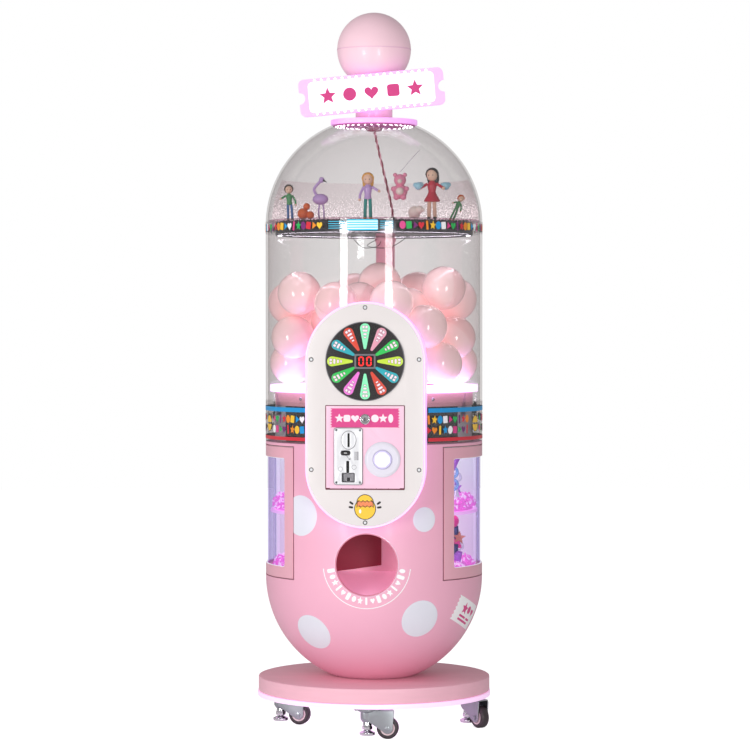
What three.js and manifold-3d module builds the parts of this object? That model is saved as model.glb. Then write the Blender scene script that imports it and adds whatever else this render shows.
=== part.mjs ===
// A capsule toy vendor: a round cabinet on a castored base disc, a clear capsule chamber with a
// domed top, and a control panel with a coin acceptor and a push button on its front.
// Millimetres, +Z up. The front faces -Y. The origin is on the cabinet's axis, at floor level.
import * as THREE from "three";
import { mergeVertices } from "three/addons/utils/BufferGeometryUtils.js";
import Module from "manifold-3d";

const wasm = await Module();
wasm.setup();

// ---- Driving dimensions ----------------------------------------------------------------------

const GAP = 0.3; // clearance between pieces that touch
const ROUND = 36; // facets of a large round
const SMALL_ROUND = 10; // facets of a pin or a boss

const BODY_R = 250; // outside radius of cabinet, tube and dome
const SHELL_WALL = 4;
const TUBE_WALL = 5;
const DOME_WALL = 4;

const BASE = { bottom: 72, lightPlate: 11, disc: 34, lightRadius: 269, discRadius: 267 };
const DISC_TOP = BASE.bottom + BASE.lightPlate + BASE.disc;

const BOWL_Z = 349; // centre of the cabinet's bowl-shaped bottom
const SHELL_TOP = 659;
const TUBE_TOP = 1150;
const DOME_Z = 1155; // centre of the dome
const DOME_MOUTH_R = 97;

const OUTLET = { radius: 70.5, z: 392 };
const PANEL = { halfWidth: 133, bottom: 476, top: 978, faceY: -284, faceThickness: 3.7, rim: 6 };
const HATCH = { halfWidth: 88, bottom: 563.5, top: 748.5, thickness: 3, frontY: -285.5 };

const SIDE_DOOR = { from: 42.5, to: 112.5, bottom: 352.5, top: 651 };
const REAR_DOOR = { from: 144, to: 216, bottom: 371, top: 639 };
const HINGE = { pinR: 2.5, boreR: 3, knuckleR: 5, offset: 5.5, strap: 3, degrees: 0.4 };

const CASTER = { circle: 217, trail: 46, wheelR: 25, wheelWidth: 22, cheek: 3, side: 1 };
// Direction in which each caster trails, in degrees from +X, and where it sits round the disc.
const CASTERS = [
  { place: "front", at: 0, trails: 0 },
  { place: "right", at: 90, trails: -51 },
  { place: "back", at: 180, trails: 90 },
  { place: "left", at: 270, trails: -11 },
];

const DRUM = { radius: 228, wall: 4 };
const PLATFORM = { bottom: 773, top: 788, radius: 240, hole: 150 };
const ROTOR = { radius: 147, bottom: 677, pockets: 4, pocketR: 53, pocketAt: 88 };
const POST = { x: 14, y: 186, radius: 22.5, wall: 3.5 };
const SHOW_DRUM = { bottom: 1134, top: 1161.7 };
const CAPSULE_R = 50;

// ---- Materials -------------------------------------------------------------------------------

const finish = (color, roughness, metalness = 0, opacity = 1) =>
  new THREE.MeshStandardMaterial({
    color,
    roughness,
    metalness,
    opacity,
    transparent: opacity < 1,
  });

const MATERIAL = {
  pinkBody: finish(0xf2a3c0, 0.3),
  pinkMetal: finish(0xe8a0b4, 0.45),
  palePink: finish(0xf8c6dc, 0.35),
  litAcrylic: finish(0xf6d8ff, 0.3),
  clear: finish(0xffffff, 0.05, 0, 0.25),
  white: finish(0xf1eeec, 0.35),
  mirror: finish(0x8f8f93, 0.08, 1),
  black: finish(0x231f20, 0.4),
  chrome: finish(0xdfe2e6, 0.12, 1),
  castMetal: finish(0xb9bcc0, 0.4, 0.9),
  tyre: finish(0x2c2629, 0.6),
  capsule: finish(0xf7bfc2, 0.2),
  cable: finish(0xa84f68, 0.6),
};

// ---- Solid helpers ---------------------------------------------------------------------------

// A three.js geometry as a manifold-3d solid that faces outwards.
function solid(geometry) {
  const bare = geometry.clone();
  for (const name of Object.keys(bare.attributes)) {
    if (name !== "position") bare.deleteAttribute(name);
  }
  const merged = mergeVertices(bare, 1e-3);
  const corners = merged.index.array;
  const faces = [];
  for (let i = 0; i < corners.length; i += 3) {
    const [a, b, c] = [corners[i], corners[i + 1], corners[i + 2]];
    if (a !== b && b !== c && c !== a) faces.push([a, b, c]);
  }
  const build = (list) =>
    new wasm.Manifold(
      new wasm.Mesh({
        numProp: 3,
        vertProperties: new Float32Array(merged.attributes.position.array),
        triVerts: new Uint32Array(list.flat()),
      }),
    );
  const made = build(faces);
  return made.volume() > 0 ? made : build(faces.map(([a, b, c]) => [a, c, b]));
}

function geometryOf(body) {
  const mesh = body.getMesh();
  const points = new Float32Array(mesh.numVert * 3);
  for (let i = 0; i < mesh.numVert; i++) {
    points.set(mesh.vertProperties.subarray(i * mesh.numProp, i * mesh.numProp + 3), i * 3);
  }
  const geometry = new THREE.BufferGeometry();
  geometry.setAttribute("position", new THREE.BufferAttribute(points, 3));
  geometry.setIndex(new THREE.BufferAttribute(new Uint32Array(mesh.triVerts), 1));
  geometry.computeVertexNormals();
  return geometry;
}

const cut = (body, ...tools) => tools.reduce((rest, tool) => rest.subtract(tool), body);
const join = (...bodies) => bodies.reduce((all, body) => all.add(body));
const radians = THREE.MathUtils.degToRad;

// A point on a circle about the axis: degrees are counted from the front towards +X.
const around = (radius, degrees) => [
  radius * Math.sin(radians(degrees)),
  -radius * Math.cos(radians(degrees)),
];

function box(x0, x1, y0, y1, z0, z1) {
  const geometry = new THREE.BoxGeometry(x1 - x0, y1 - y0, z1 - z0);
  return solid(geometry.translate((x0 + x1) / 2, (y0 + y1) / 2, (z0 + z1) / 2));
}

// A solid of revolution about Z through (x, y): the profile is a list of [radius, height].
function turned(profile, facets = ROUND, x = 0, y = 0) {
  const points = profile.map(([r, z]) => new THREE.Vector2(r, z));
  const geometry = new THREE.LatheGeometry(points, facets);
  return solid(geometry.rotateX(Math.PI / 2).translate(x, y, 0));
}

const disc = (radius, z0, z1, facets = ROUND, x = 0, y = 0) =>
  turned([[0, z0], [radius, z0], [radius, z1], [0, z1]], facets, x, y);

const ring = (inner, outer, z0, z1, facets = ROUND, x = 0, y = 0) =>
  turned([[inner, z0], [outer, z0], [outer, z1], [inner, z1], [inner, z0]], facets, x, y);

// A turned solid whose axis runs along Y through (x, z); its profile height counts towards -Y.
function turnedForward(profile, x, y, z, facets) {
  const points = profile.map(([r, out]) => new THREE.Vector2(r, out));
  const geometry = new THREE.LatheGeometry(points, facets);
  return solid(geometry.rotateX(Math.PI).translate(x, y, z));
}

const rod = (radius, x, z, y0, y1, facets = SMALL_ROUND) =>
  turnedForward([[0, 0], [radius, 0], [radius, y1 - y0], [0, y1 - y0]], x, y1, z, facets);

// Part of a ring wall between two angles, counted in degrees from the front towards +X.
function sector(inner, outer, from, to, z0, z1, steps = 10) {
  const [start, end] = [radians(from - 90), radians(to - 90)];
  const shape = new THREE.Shape();
  shape.absarc(0, 0, outer, start, end, false);
  shape.absarc(0, 0, inner, end, start, true);
  shape.closePath();
  const options = { depth: z1 - z0, bevelEnabled: false, curveSegments: steps };
  return solid(new THREE.ExtrudeGeometry(shape, options).translate(0, 0, z0));
}

// An outline in X and Z, extruded along Y from y0 to y1.
function plate(shape, y0, y1, steps = 12) {
  const options = { depth: y1 - y0, bevelEnabled: false, curveSegments: steps };
  return solid(new THREE.ExtrudeGeometry(shape, options).rotateX(Math.PI / 2).translate(0, y1, 0));
}

function outline(points) {
  return new THREE.Shape(points.map(([x, z]) => new THREE.Vector2(x, z)));
}

// A stadium: straight sides and two half-round ends.
function stadium(halfWidth, bottom, top) {
  const shape = new THREE.Shape();
  shape.absarc(0, top - halfWidth, halfWidth, 0, Math.PI, false);
  shape.absarc(0, bottom + halfWidth, halfWidth, Math.PI, 2 * Math.PI, false);
  shape.closePath();
  return shape;
}

function roundedRectangle(width, height, radius) {
  const [w, h] = [width / 2, height / 2];
  const shape = new THREE.Shape();
  shape.absarc(w - radius, h - radius, radius, 0, Math.PI / 2, false);
  shape.absarc(radius - w, h - radius, radius, Math.PI / 2, Math.PI, false);
  shape.absarc(radius - w, radius - h, radius, Math.PI, 1.5 * Math.PI, false);
  shape.absarc(w - radius, radius - h, radius, 1.5 * Math.PI, 2 * Math.PI, false);
  shape.closePath();
  return shape;
}

// Points on a quarter-like arc of a sphere's profile, from one height to another.
function spherePoints(radius, centre, z0, z1, steps) {
  const [a0, a1] = [z0, z1].map((z) => Math.asin((z - centre) / radius));
  return Array.from({ length: steps + 1 }, (_, i) => {
    const angle = a0 + ((a1 - a0) * i) / steps;
    return [radius * Math.cos(angle), centre + radius * Math.sin(angle)];
  });
}

const machine = new THREE.Group();

function add(name, material, body, parent = machine) {
  const mesh = new THREE.Mesh(geometryOf(body), material);
  mesh.name = name;
  parent.add(mesh);
  return mesh;
}

// ---- Base disc -------------------------------------------------------------------------------

const LIGHT_TOP = BASE.bottom + BASE.lightPlate;
add("base_light_plate", MATERIAL.litAcrylic, disc(BASE.lightRadius, BASE.bottom, LIGHT_TOP - GAP));
add("base_disc", MATERIAL.pinkMetal, disc(BASE.discRadius, LIGHT_TOP, DISC_TOP));

// ---- Casters with levelling feet --------------------------------------------------------------
// Each is built about its own swivel axis, with the wheel trailing along +X.

const STUD = { radius: 5, bore: 5.6 };

function casterPlate() {
  const half = 31;
  const slab = box(-half, half, -half, half, BASE.bottom - 3, BASE.bottom - GAP);
  return cut(slab, disc(8, BASE.bottom - 5, BASE.bottom + 5, SMALL_ROUND));
}

function casterFork() {
  const top = BASE.bottom - 3 - GAP;
  const roof = top - 3;
  const inner = CASTER.wheelWidth / 2 + CASTER.side;
  const outer = inner + CASTER.cheek;
  const hub = turned([[0, 36], [11, 36], [16, 44], [16, top], [0, top]], SMALL_ROUND);
  const cheekShape = new THREE.Shape();
  cheekShape.moveTo(-8, roof);
  cheekShape.lineTo(-8, 46);
  cheekShape.lineTo(36, 18);
  cheekShape.absarc(CASTER.trail, CASTER.wheelR, 12, radians(-140), radians(10), false);
  cheekShape.lineTo(60, roof);
  cheekShape.closePath();
  const cheeks = [-outer, inner].map((y) => plate(cheekShape, y, y + CASTER.cheek, 4));
  const bridge = box(8, 60, -outer, outer, roof - 3, roof);
  const boss = disc(20, roof - 0.5, top, SMALL_ROUND);
  const axle = rod(4, CASTER.trail, CASTER.wheelR, -outer - 1, outer + 1);
  const heads = [-outer - 3, outer].map((y) => rod(6, CASTER.trail, CASTER.wheelR, y, y + 3, 6));
  const bore = disc(STUD.bore, 30, top + 1, SMALL_ROUND);
  return cut(join(hub, ...cheeks, bridge, boss, axle, ...heads), bore);
}

function casterWheel() {
  const [r, half] = [CASTER.wheelR, CASTER.wheelWidth / 2];
  const profile = [
    [4.3, -half], [r - 2, -half], [r, 2 - half], [r, half - 2], [r - 2, half], [4.3, half],
    [4.3, -half],
  ];
  return turnedForward(profile, CASTER.trail, 0, r, 16);
}

function levellingFoot() {
  const profile = [[0, 8], [17, 8], [18, 10], [18, 14], [11, 18], [5, 20], [5, 62], [0, 62]];
  return turned(profile, SMALL_ROUND);
}

for (const { place, at, trails } of CASTERS) {
  const mount = new THREE.Group();
  mount.position.set(...around(CASTER.circle, at), 0);
  const swivel = new THREE.Group();
  swivel.rotation.z = radians(trails);
  mount.add(swivel);
  machine.add(mount);
  add(`caster_plate_${place}`, MATERIAL.castMetal, casterPlate(), mount);
  add(`caster_fork_${place}`, MATERIAL.castMetal, casterFork(), swivel);
  add(`caster_wheel_${place}`, MATERIAL.tyre, casterWheel(), swivel);
  add(`levelling_foot_${place}`, MATERIAL.chrome, levellingFoot(), mount);
}

// ---- Hinges of the curved doors ----------------------------------------------------------------
// towards is +1 when the door lies on the side of growing angles from its pin, and -1 otherwise.

function knuckle(phi, z0, z1) {
  const [x, y] = around(BODY_R + HINGE.offset, phi);
  return disc(HINGE.knuckleR, z0, z1, SMALL_ROUND, x, y);
}

function strap(phi, towards, z0, z1, reach) {
  const ends = [phi, phi + towards * reach].sort((a, b) => a - b);
  const root = [phi + towards * 2 * HINGE.degrees, phi + towards * reach].sort((a, b) => a - b);
  return join(
    sector(BODY_R + 0.6, BODY_R + HINGE.strap, ...ends, z0, z1, 2),
    sector(BODY_R - 1, BODY_R + HINGE.strap, ...root, z0, z1, 2),
  );
}

const HINGE_HEIGHTS = (door) => {
  const [low, high] = [door.bottom + 30, door.top - 30];
  return {
    body: [[low - 22, low], [high, high + 22]],
    leaf: [[low + GAP, low + 22], [high - 22, high - GAP]],
    pin: [low - 21, high + 21],
  };
};

function hingeSide(phi, towards, spans) {
  return spans.flatMap(([z0, z1]) => [knuckle(phi, z0, z1), strap(phi, towards, z0, z1, 4)]);
}

function hingeBore(phi, door) {
  const [x, y] = around(BODY_R + HINGE.offset, phi);
  return disc(HINGE.boreR, door.bottom, door.top, SMALL_ROUND, x, y);
}

function hingePin(phi, door) {
  const [x, y] = around(BODY_R + HINGE.offset, phi);
  return disc(HINGE.pinR, ...HINGE_HEIGHTS(door).pin, SMALL_ROUND, x, y);
}

const RIGHT_PIN = SIDE_DOOR.to + HINGE.degrees;
const LEFT_PIN = -RIGHT_PIN;
const REAR_PIN = REAR_DOOR.from - HINGE.degrees;

// ---- Cabinet shell -----------------------------------------------------------------------------

function lowerShell() {
  const bottom = DISC_TOP + GAP;
  const floor = bottom + SHELL_WALL;
  const inner = BODY_R - SHELL_WALL;
  const deck = SHELL_TOP - SHELL_WALL;
  const blank = turned([
    [0, bottom],
    ...spherePoints(BODY_R, BOWL_Z, bottom, BOWL_Z, 6),
    [BODY_R, SHELL_TOP],
    [200, SHELL_TOP],
    [200, deck],
    [inner, deck],
    ...spherePoints(inner, BOWL_Z, BOWL_Z, floor, 5),
    [0, floor],
  ]);
  const { from, to, bottom: low, top: high } = SIDE_DOOR;
  const rear = REAR_DOOR;
  const openings = [
    rod(OUTLET.radius, 0, OUTLET.z, -BODY_R - 20, -BODY_R + 60, 32),
    box(-HATCH.halfWidth, HATCH.halfWidth, -BODY_R - 20, -185, HATCH.bottom, SHELL_TOP + 10),
    sector(inner - 10, BODY_R + 20, from, to, low, high),
    sector(inner - 10, BODY_R + 20, -to, -from, low, high),
    sector(inner - 10, BODY_R + 20, rear.from, rear.to, rear.bottom, rear.top),
    box(-24.5, 24.5, BODY_R - 30, BODY_R + 20, 330, 358),
  ];
  const side = HINGE_HEIGHTS(SIDE_DOOR).body;
  const hinges = [
    ...hingeSide(RIGHT_PIN, 1, side),
    ...hingeSide(LEFT_PIN, -1, side),
    ...hingeSide(REAR_PIN, -1, HINGE_HEIGHTS(REAR_DOOR).body),
  ];
  const bores = [
    hingeBore(RIGHT_PIN, SIDE_DOOR),
    hingeBore(LEFT_PIN, SIDE_DOOR),
    hingeBore(REAR_PIN, REAR_DOOR),
  ];
  return cut(join(cut(blank, ...openings), ...hinges), ...bores);
}

add("lower_shell", MATERIAL.pinkBody, lowerShell());

// A leaf that fills a door opening with a small gap all round.
function doorLeaf(door) {
  const edge = 0.4; // degrees
  const inner = BODY_R - SHELL_WALL;
  return sector(inner, BODY_R, door.from + edge, door.to - edge, door.bottom + 1, door.top - 1, 12);
}

// The side doors are built for the right side; the left one is its mirror image.
function sideDoorFrame() {
  const border = 26;
  const window = sector(
    BODY_R - 20, BODY_R + 20, SIDE_DOOR.from + 7.7, SIDE_DOOR.to - 7.5,
    SIDE_DOOR.bottom + border, SIDE_DOOR.top - border,
  );
  const hinges = hingeSide(RIGHT_PIN, -1, HINGE_HEIGHTS(SIDE_DOOR).leaf);
  return cut(join(doorLeaf(SIDE_DOOR), ...hinges), window, hingeBore(RIGHT_PIN, SIDE_DOOR));
}

function sideDoorGlass() {
  const { from, to, bottom, top } = SIDE_DOOR;
  const outer = BODY_R - SHELL_WALL - GAP;
  return sector(outer - 3, outer, from + 6, to - 6, bottom + 21, top - 21, 12);
}

// The alcove is a box that opens outwards; u runs out from the axis and v runs round it.
const ALCOVE = { facing: 77.5, back: 130, halfWidth: 132, bottom: 356, top: 647, wall: 3 };
const ALCOVE_R = BODY_R - 8.5;

function alcoveBlock(back, halfWidth, bottom, top) {
  const turn = ALCOVE.facing - 90;
  return box(back, BODY_R + 30, -halfWidth, halfWidth, bottom, top).rotate([0, 0, turn]);
}

function displayBox() {
  const { back, halfWidth, bottom, top, wall } = ALCOVE;
  const block = alcoveBlock(back, halfWidth, bottom, top);
  const hollow = alcoveBlock(back + wall, halfWidth - wall, bottom + wall, top - wall);
  return cut(block.intersect(disc(ALCOVE_R, bottom - 1, top + 1)), hollow);
}

function displayShelf() {
  const { back, halfWidth, wall } = ALCOVE;
  const slab = alcoveBlock(back + wall + GAP, halfWidth - wall - GAP, 496, 503);
  return slab.intersect(disc(ALCOVE_R - 2, 490, 510));
}

const mirrored = (body) => body.mirror([1, 0, 0]);

for (const [place, mirror] of [["right", (body) => body], ["left", mirrored]]) {
  add(`display_box_${place}`, MATERIAL.white, mirror(displayBox()));
  add(`display_shelf_${place}`, MATERIAL.litAcrylic, mirror(displayShelf()));
  add(`side_door_frame_${place}`, MATERIAL.pinkBody, mirror(sideDoorFrame()));
  add(`side_door_glass_${place}`, MATERIAL.clear, mirror(sideDoorGlass()));
  add(`side_hinge_pin_${place}`, MATERIAL.chrome, mirror(hingePin(RIGHT_PIN, SIDE_DOOR)));
}

function rearDoor() {
  const hinges = hingeSide(REAR_PIN, 1, HINGE_HEIGHTS(REAR_DOOR).leaf);
  return cut(join(doorLeaf(REAR_DOOR), ...hinges), hingeBore(REAR_PIN, REAR_DOOR));
}

add("rear_door", MATERIAL.pinkBody, rearDoor());
add("rear_hinge_pin", MATERIAL.chrome, hingePin(REAR_PIN, REAR_DOOR));

function powerInlet() {
  const [z0, z1] = [331, 357];
  const housing = box(-23.5, 23.5, BODY_R - 28, BODY_R + 1, z0, z1);
  const flange = box(-30, 30, BODY_R + GAP, BODY_R + 3, z0 - 5, z1 + 5);
  return cut(join(housing, flange), box(-12, 12, BODY_R - 18, BODY_R + 10, z0 + 5, z1 - 5));
}

add("power_inlet", MATERIAL.black, powerInlet());

// ---- Prize outlet ------------------------------------------------------------------------------

const CHUTE = { radius: 238, halfWidth: 92, back: -20, bottom: 310, top: 498, wall: 3, lip: 316.5 };
const CHUTE_RISE = 41; // from the lip of the chute's floor to its back edge

function outletChute() {
  const { halfWidth, back, bottom, top, wall, lip } = CHUTE;
  const front = -BODY_R - 9;
  const block = box(-halfWidth, halfWidth, -BODY_R, back, bottom, top);
  const hollow = box(wall - halfWidth, halfWidth - wall, front, back - wall, lip - 0.5, top - wall);
  // The floor falls towards the outlet, so that a capsule rolls to the front.
  const rear = back - wall;
  const ramp = [[front, 300], [front, lip], [rear, lip + CHUTE_RISE], [rear, 300]];
  const shape = outline(ramp);
  const options = { depth: 2 * halfWidth, bevelEnabled: false };
  const wedge = solid(
    new THREE.ExtrudeGeometry(shape, options)
      .rotateX(Math.PI / 2)
      .rotateZ(Math.PI / 2)
      .translate(-halfWidth, 0, 0),
  );
  const inlet = disc(ROTOR.pocketR + 3, top - 10, top + 10, 24, 0, -ROTOR.pocketAt);
  return cut(block.intersect(disc(CHUTE.radius, 300, 510)), cut(hollow, wedge), inlet);
}

add("outlet_chute", MATERIAL.palePink, outletChute());

const FLOOR_Z = { bottom: 668, top: 676 }; // the fixed plate under the pocket wheel
const DUCT_R = ROTOR.pocketR + 3;

add(
  "drop_duct",
  MATERIAL.palePink,
  ring(DUCT_R, DUCT_R + 3, CHUTE.top + GAP, FLOOR_Z.bottom - GAP, 24, 0, -ROTOR.pocketAt),
);

function cashBox() {
  const z0 = CHUTE.top + GAP;
  return cut(box(-80, 10, -225, -152, z0, 560), box(-78, 8, -223, -154, z0 + 2, 570));
}

add("cash_box", MATERIAL.castMetal, cashBox());

// ---- Dispenser ---------------------------------------------------------------------------------

function dispenserFloor() {
  const blank = disc(DRUM.radius - DRUM.wall - GAP - 1, FLOOR_Z.bottom, FLOOR_Z.top);
  return cut(
    blank,
    box(-BODY_R, BODY_R, -BODY_R, -185, 600, 700),
    disc(DUCT_R, 600, 700, 24, 0, -ROTOR.pocketAt),
    disc(8, 600, 700, SMALL_ROUND),
  );
}

add("dispenser_floor", MATERIAL.castMetal, dispenserFloor());

function pocketWheel() {
  const { radius, bottom, pockets, pocketR, pocketAt } = ROTOR;
  const top = PLATFORM.top;
  const blank = turned(
    [[0, 656], [6, 656], [6, bottom], [radius, bottom], [radius, top], [32, top], [8, top + 26], [0, top + 28]],
  );
  const holes = Array.from({ length: pockets }, (_, i) => {
    const [x, y] = around(pocketAt, (360 / pockets) * (i + 0.5));
    return disc(pocketR, bottom - 10, top + 10, 16, x, y);
  });
  return cut(blank, ...holes);
}

add("pocket_wheel", MATERIAL.palePink, pocketWheel());

function gearMotor() {
  const top = FLOOR_Z.bottom - GAP;
  const profile = [[0, 575], [20, 575], [20, 625], [27, 625], [27, top], [0, top]];
  return cut(turned(profile, 20), disc(6.8, 650, top + 5, SMALL_ROUND));
}

add("gear_motor", MATERIAL.castMetal, gearMotor());

function innerDrum() {
  const { radius, wall } = DRUM;
  const wallRing = ring(radius - wall, radius, SHELL_TOP + GAP, PLATFORM.bottom - GAP);
  return cut(wallRing, box(-88, 88, -BODY_R, -150, SHELL_TOP - 5, 730));
}

add("inner_drum", MATERIAL.pinkBody, innerDrum());
add(
  "light_platform",
  MATERIAL.litAcrylic,
  ring(PLATFORM.hole, PLATFORM.radius, PLATFORM.bottom, PLATFORM.top),
);

// Capsules lie in rings that rest in the hollows of the ring below; none stands where the post is.
function capsulePlaces() {
  const rings = [
    { count: 12, radius: 189, level: 0, offset: 0 },
    { count: 6, radius: 94, level: 0, offset: 30 },
    { count: 12, radius: 189, level: 1, offset: 15 },
    { count: 5, radius: 92, level: 1, offset: 0 },
  ];
  const places = [];
  for (const { count, radius, level, offset } of rings) {
    for (let i = 0; i < count; i++) {
      const [x, y] = around(radius, offset + (360 / count) * i);
      const z = PLATFORM.top + 56 + level * 80;
      if (Math.hypot(x - POST.x, y - POST.y) > POST.radius + 54) places.push([x, y, z]);
    }
  }
  return places;
}

function capsuleHeap() {
  // Each ball is a coarse one, swollen a little so that the heap holds together as one body.
  const balls = capsulePlaces().map(([x, y, z]) => {
    const ball = new THREE.SphereGeometry(CAPSULE_R + 5, 6, 4).rotateX(Math.PI / 2);
    return solid(ball.rotateZ(Math.atan2(y, x)).translate(x, y, z));
  });
  return join(...balls);
}

add("capsule_heap", MATERIAL.capsule, capsuleHeap());

// ---- Clear chamber -----------------------------------------------------------------------------

function clearTube() {
  const wall = ring(BODY_R - TUBE_WALL, BODY_R, SHELL_TOP + GAP, TUBE_TOP);
  return cut(wall, box(-HATCH.halfWidth, HATCH.halfWidth, -BODY_R - 5, -185, SHELL_TOP - 5, 755));
}

add("clear_tube", MATERIAL.clear, clearTube());
add(
  "wiring_post",
  MATERIAL.palePink,
  ring(
    POST.radius - POST.wall, POST.radius, PLATFORM.top + GAP, SHOW_DRUM.bottom - GAP,
    SMALL_ROUND, POST.x, POST.y,
  ),
);

function showDrum() {
  const { bottom, top } = SHOW_DRUM;
  const [r, wall] = [DRUM.radius, DRUM.wall];
  return turned([
    [0, bottom], [r, bottom], [r, top], [r - wall, top], [r - wall, bottom + wall], [0, bottom + wall],
  ]);
}

add("show_drum", MATERIAL.mirror, showDrum());
add("show_shelf", MATERIAL.clear, disc(243, SHOW_DRUM.top + GAP, SHOW_DRUM.top + 5));

function dome() {
  const inner = BODY_R - DOME_WALL;
  const mouth = DOME_Z + Math.sqrt(BODY_R ** 2 - DOME_MOUTH_R ** 2);
  return turned([
    [BODY_R, TUBE_TOP + GAP],
    ...spherePoints(BODY_R, DOME_Z, DOME_Z, mouth, 6),
    ...spherePoints(inner, DOME_Z, mouth - 3, DOME_Z, 5),
    [inner, TUBE_TOP + GAP],
    [BODY_R, TUBE_TOP + GAP],
  ]);
}

add("dome", MATERIAL.clear, dome());

// ---- Lit cap and topper ------------------------------------------------------------------------

const CAP = { radius: 100, bottom: 1386, top: 1398, hole: 12 };
const NECK = { radius: 42.5, top: 1483 };
const BALL = { radius: 85, z: 1560 };

add("cap_ring", MATERIAL.litAcrylic, ring(CAP.hole, CAP.radius, CAP.bottom, CAP.top - GAP, 32));
add("topper_neck", MATERIAL.pinkBody, ring(CAP.hole, NECK.radius, CAP.top, NECK.top, 24));

function topperBall() {
  const seat = NECK.top + GAP;
  const profile = [[0, seat], ...spherePoints(BALL.radius, BALL.z, seat, BALL.z + BALL.radius, 8)];
  return turned(profile, 24);
}

add("topper_ball", MATERIAL.pinkBody, topperBall());

// A ticket-shaped light panel, tilted a little, on a bracket that meets the neck.
const SIGN = { width: 332, height: 86, z: 1456, front: -84, back: -72, tilt: -5 };

function topperSign() {
  const blank = plate(roundedRectangle(SIGN.width, SIGN.height, 14), SIGN.front, SIGN.back, 3);
  const notches = [-1, 1].map((side) =>
    rod(14, (side * SIGN.width) / 2, 0, SIGN.front - 5, SIGN.back + 5, 12),
  );
  const bracket = box(-20, 20, SIGN.back - 1, -30, -20, 20);
  const sign = join(cut(blank, ...notches), bracket);
  const neck = disc(NECK.radius + GAP, CAP.top, NECK.top + 5, 24);
  return cut(sign.rotate([0, SIGN.tilt, 0]).translate([0, 0, SIGN.z]), neck);
}

add("topper_sign", MATERIAL.litAcrylic, topperSign());

// The lamp cable runs from the display shelf up the inside of the dome to the cap's hole.
function domeCable() {
  const shelf = SHOW_DRUM.top + 5 + GAP;
  const route = new THREE.CatmullRomCurve3([
    new THREE.Vector3(38, 72, shelf),
    new THREE.Vector3(37, 70, shelf + 30),
    new THREE.Vector3(22, 42, 1270),
    new THREE.Vector3(6, 14, 1345),
    new THREE.Vector3(0, 2, CAP.bottom - 8),
    new THREE.Vector3(0, 0, CAP.bottom + 6),
  ]);
  const radius = 3.5;
  const section = new THREE.Shape();
  section.absarc(0, 0, radius, 0, 2 * Math.PI, false);
  const options = { steps: 16, extrudePath: route, curveSegments: 3, bevelEnabled: false };
  return solid(new THREE.ExtrudeGeometry(section, options));
}

add("dome_cable", MATERIAL.cable, domeCable());

// ---- Control panel -----------------------------------------------------------------------------

function panelHousing() {
  const { halfWidth, bottom, top, faceY, faceThickness, rim } = PANEL;
  const front = faceY + faceThickness + GAP;
  const block = plate(stadium(halfWidth, bottom, top), front, -200, 10);
  const hollow = plate(stadium(halfWidth - rim, bottom + rim, top - rim), front - 5, -190, 10);
  const body = disc(BODY_R + GAP, bottom - 10, top + 10);
  return cut(block, hollow, body);
}

add("panel_housing", MATERIAL.litAcrylic, panelHousing());

function panelFace() {
  const { halfWidth, bottom, top, faceY, faceThickness } = PANEL;
  const blank = plate(stadium(halfWidth - 2, bottom + 2, top - 2), faceY, faceY + faceThickness, 10);
  const hatch = box(
    -HATCH.halfWidth, HATCH.halfWidth, faceY - 5, faceY + 10, HATCH.bottom, HATCH.top,
  );
  const lampHoles = rod(80, 0, PRIZE_WHEEL.z, faceY - 5, faceY + 10, 24);
  return cut(blank, hatch, lampHoles);
}

const PRIZE_WHEEL = { radius: 88, z: 846 };

add("panel_face", MATERIAL.white, panelFace());

function prizeWheel() {
  const { radius, z } = PRIZE_WHEEL;
  const front = PANEL.faceY - 2;
  const cover = rod(radius, 0, z, front, PANEL.faceY - GAP, 32);
  const lampBoard = rod(78, 0, z, front + 0.5, PANEL.faceY + 14, 24);
  return join(cover, lampBoard);
}

add("prize_wheel", MATERIAL.black, prizeWheel());

// ---- Service hatch with coin acceptor and push button --------------------------------------------

const COIN = { x: -37, z: 636, width: 64, height: 127, back: -195 };
const BUTTON = { x: 39, z: 629 };
const LOCK = { z: 718, radius: 12 };
const HATCH_BACK = HATCH.frontY + HATCH.thickness;

function serviceHatch() {
  const half = HATCH.halfWidth - 0.6;
  const slab = box(-half, half, HATCH.frontY, HATCH_BACK, HATCH.bottom + 0.6, HATCH.top - 0.6);
  const barrel = new THREE.CylinderGeometry(3, 3, 2 * half - 20, SMALL_ROUND).rotateZ(Math.PI / 2);
  const pivot = [0, HATCH.frontY + HATCH.thickness / 2, HATCH.bottom + 3.6];
  const hinge = solid(barrel.translate(...pivot));
  const [w, h] = [COIN.width / 2 - 1.5, COIN.height / 2 - 2.5];
  return cut(
    join(slab, hinge),
    box(COIN.x - w, COIN.x + w, -300, -260, COIN.z - h, COIN.z + h),
    rod(24.8, BUTTON.x, BUTTON.z, -300, -260, 16),
    rod(9.5, 0, LOCK.z, -300, -260),
  );
}

add("service_hatch", MATERIAL.palePink, serviceHatch());

function serviceLock() {
  const front = HATCH.frontY - GAP;
  const head = rod(LOCK.radius, 0, LOCK.z, front - 4, front, 20);
  const barrel = rod(9, 0, LOCK.z, front - 1, front + 22);
  const cam = box(-7, 7, front + 20, front + 23, LOCK.z - 9, LOCK.z + 25);
  const key = box(-1, 1, front - 6, front - 2, LOCK.z - 5, LOCK.z + 5);
  return cut(join(head, barrel, cam), key);
}

add("service_lock", MATERIAL.chrome, serviceLock());

const COIN_FRONT = HATCH.frontY - GAP - 3.2;

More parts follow.
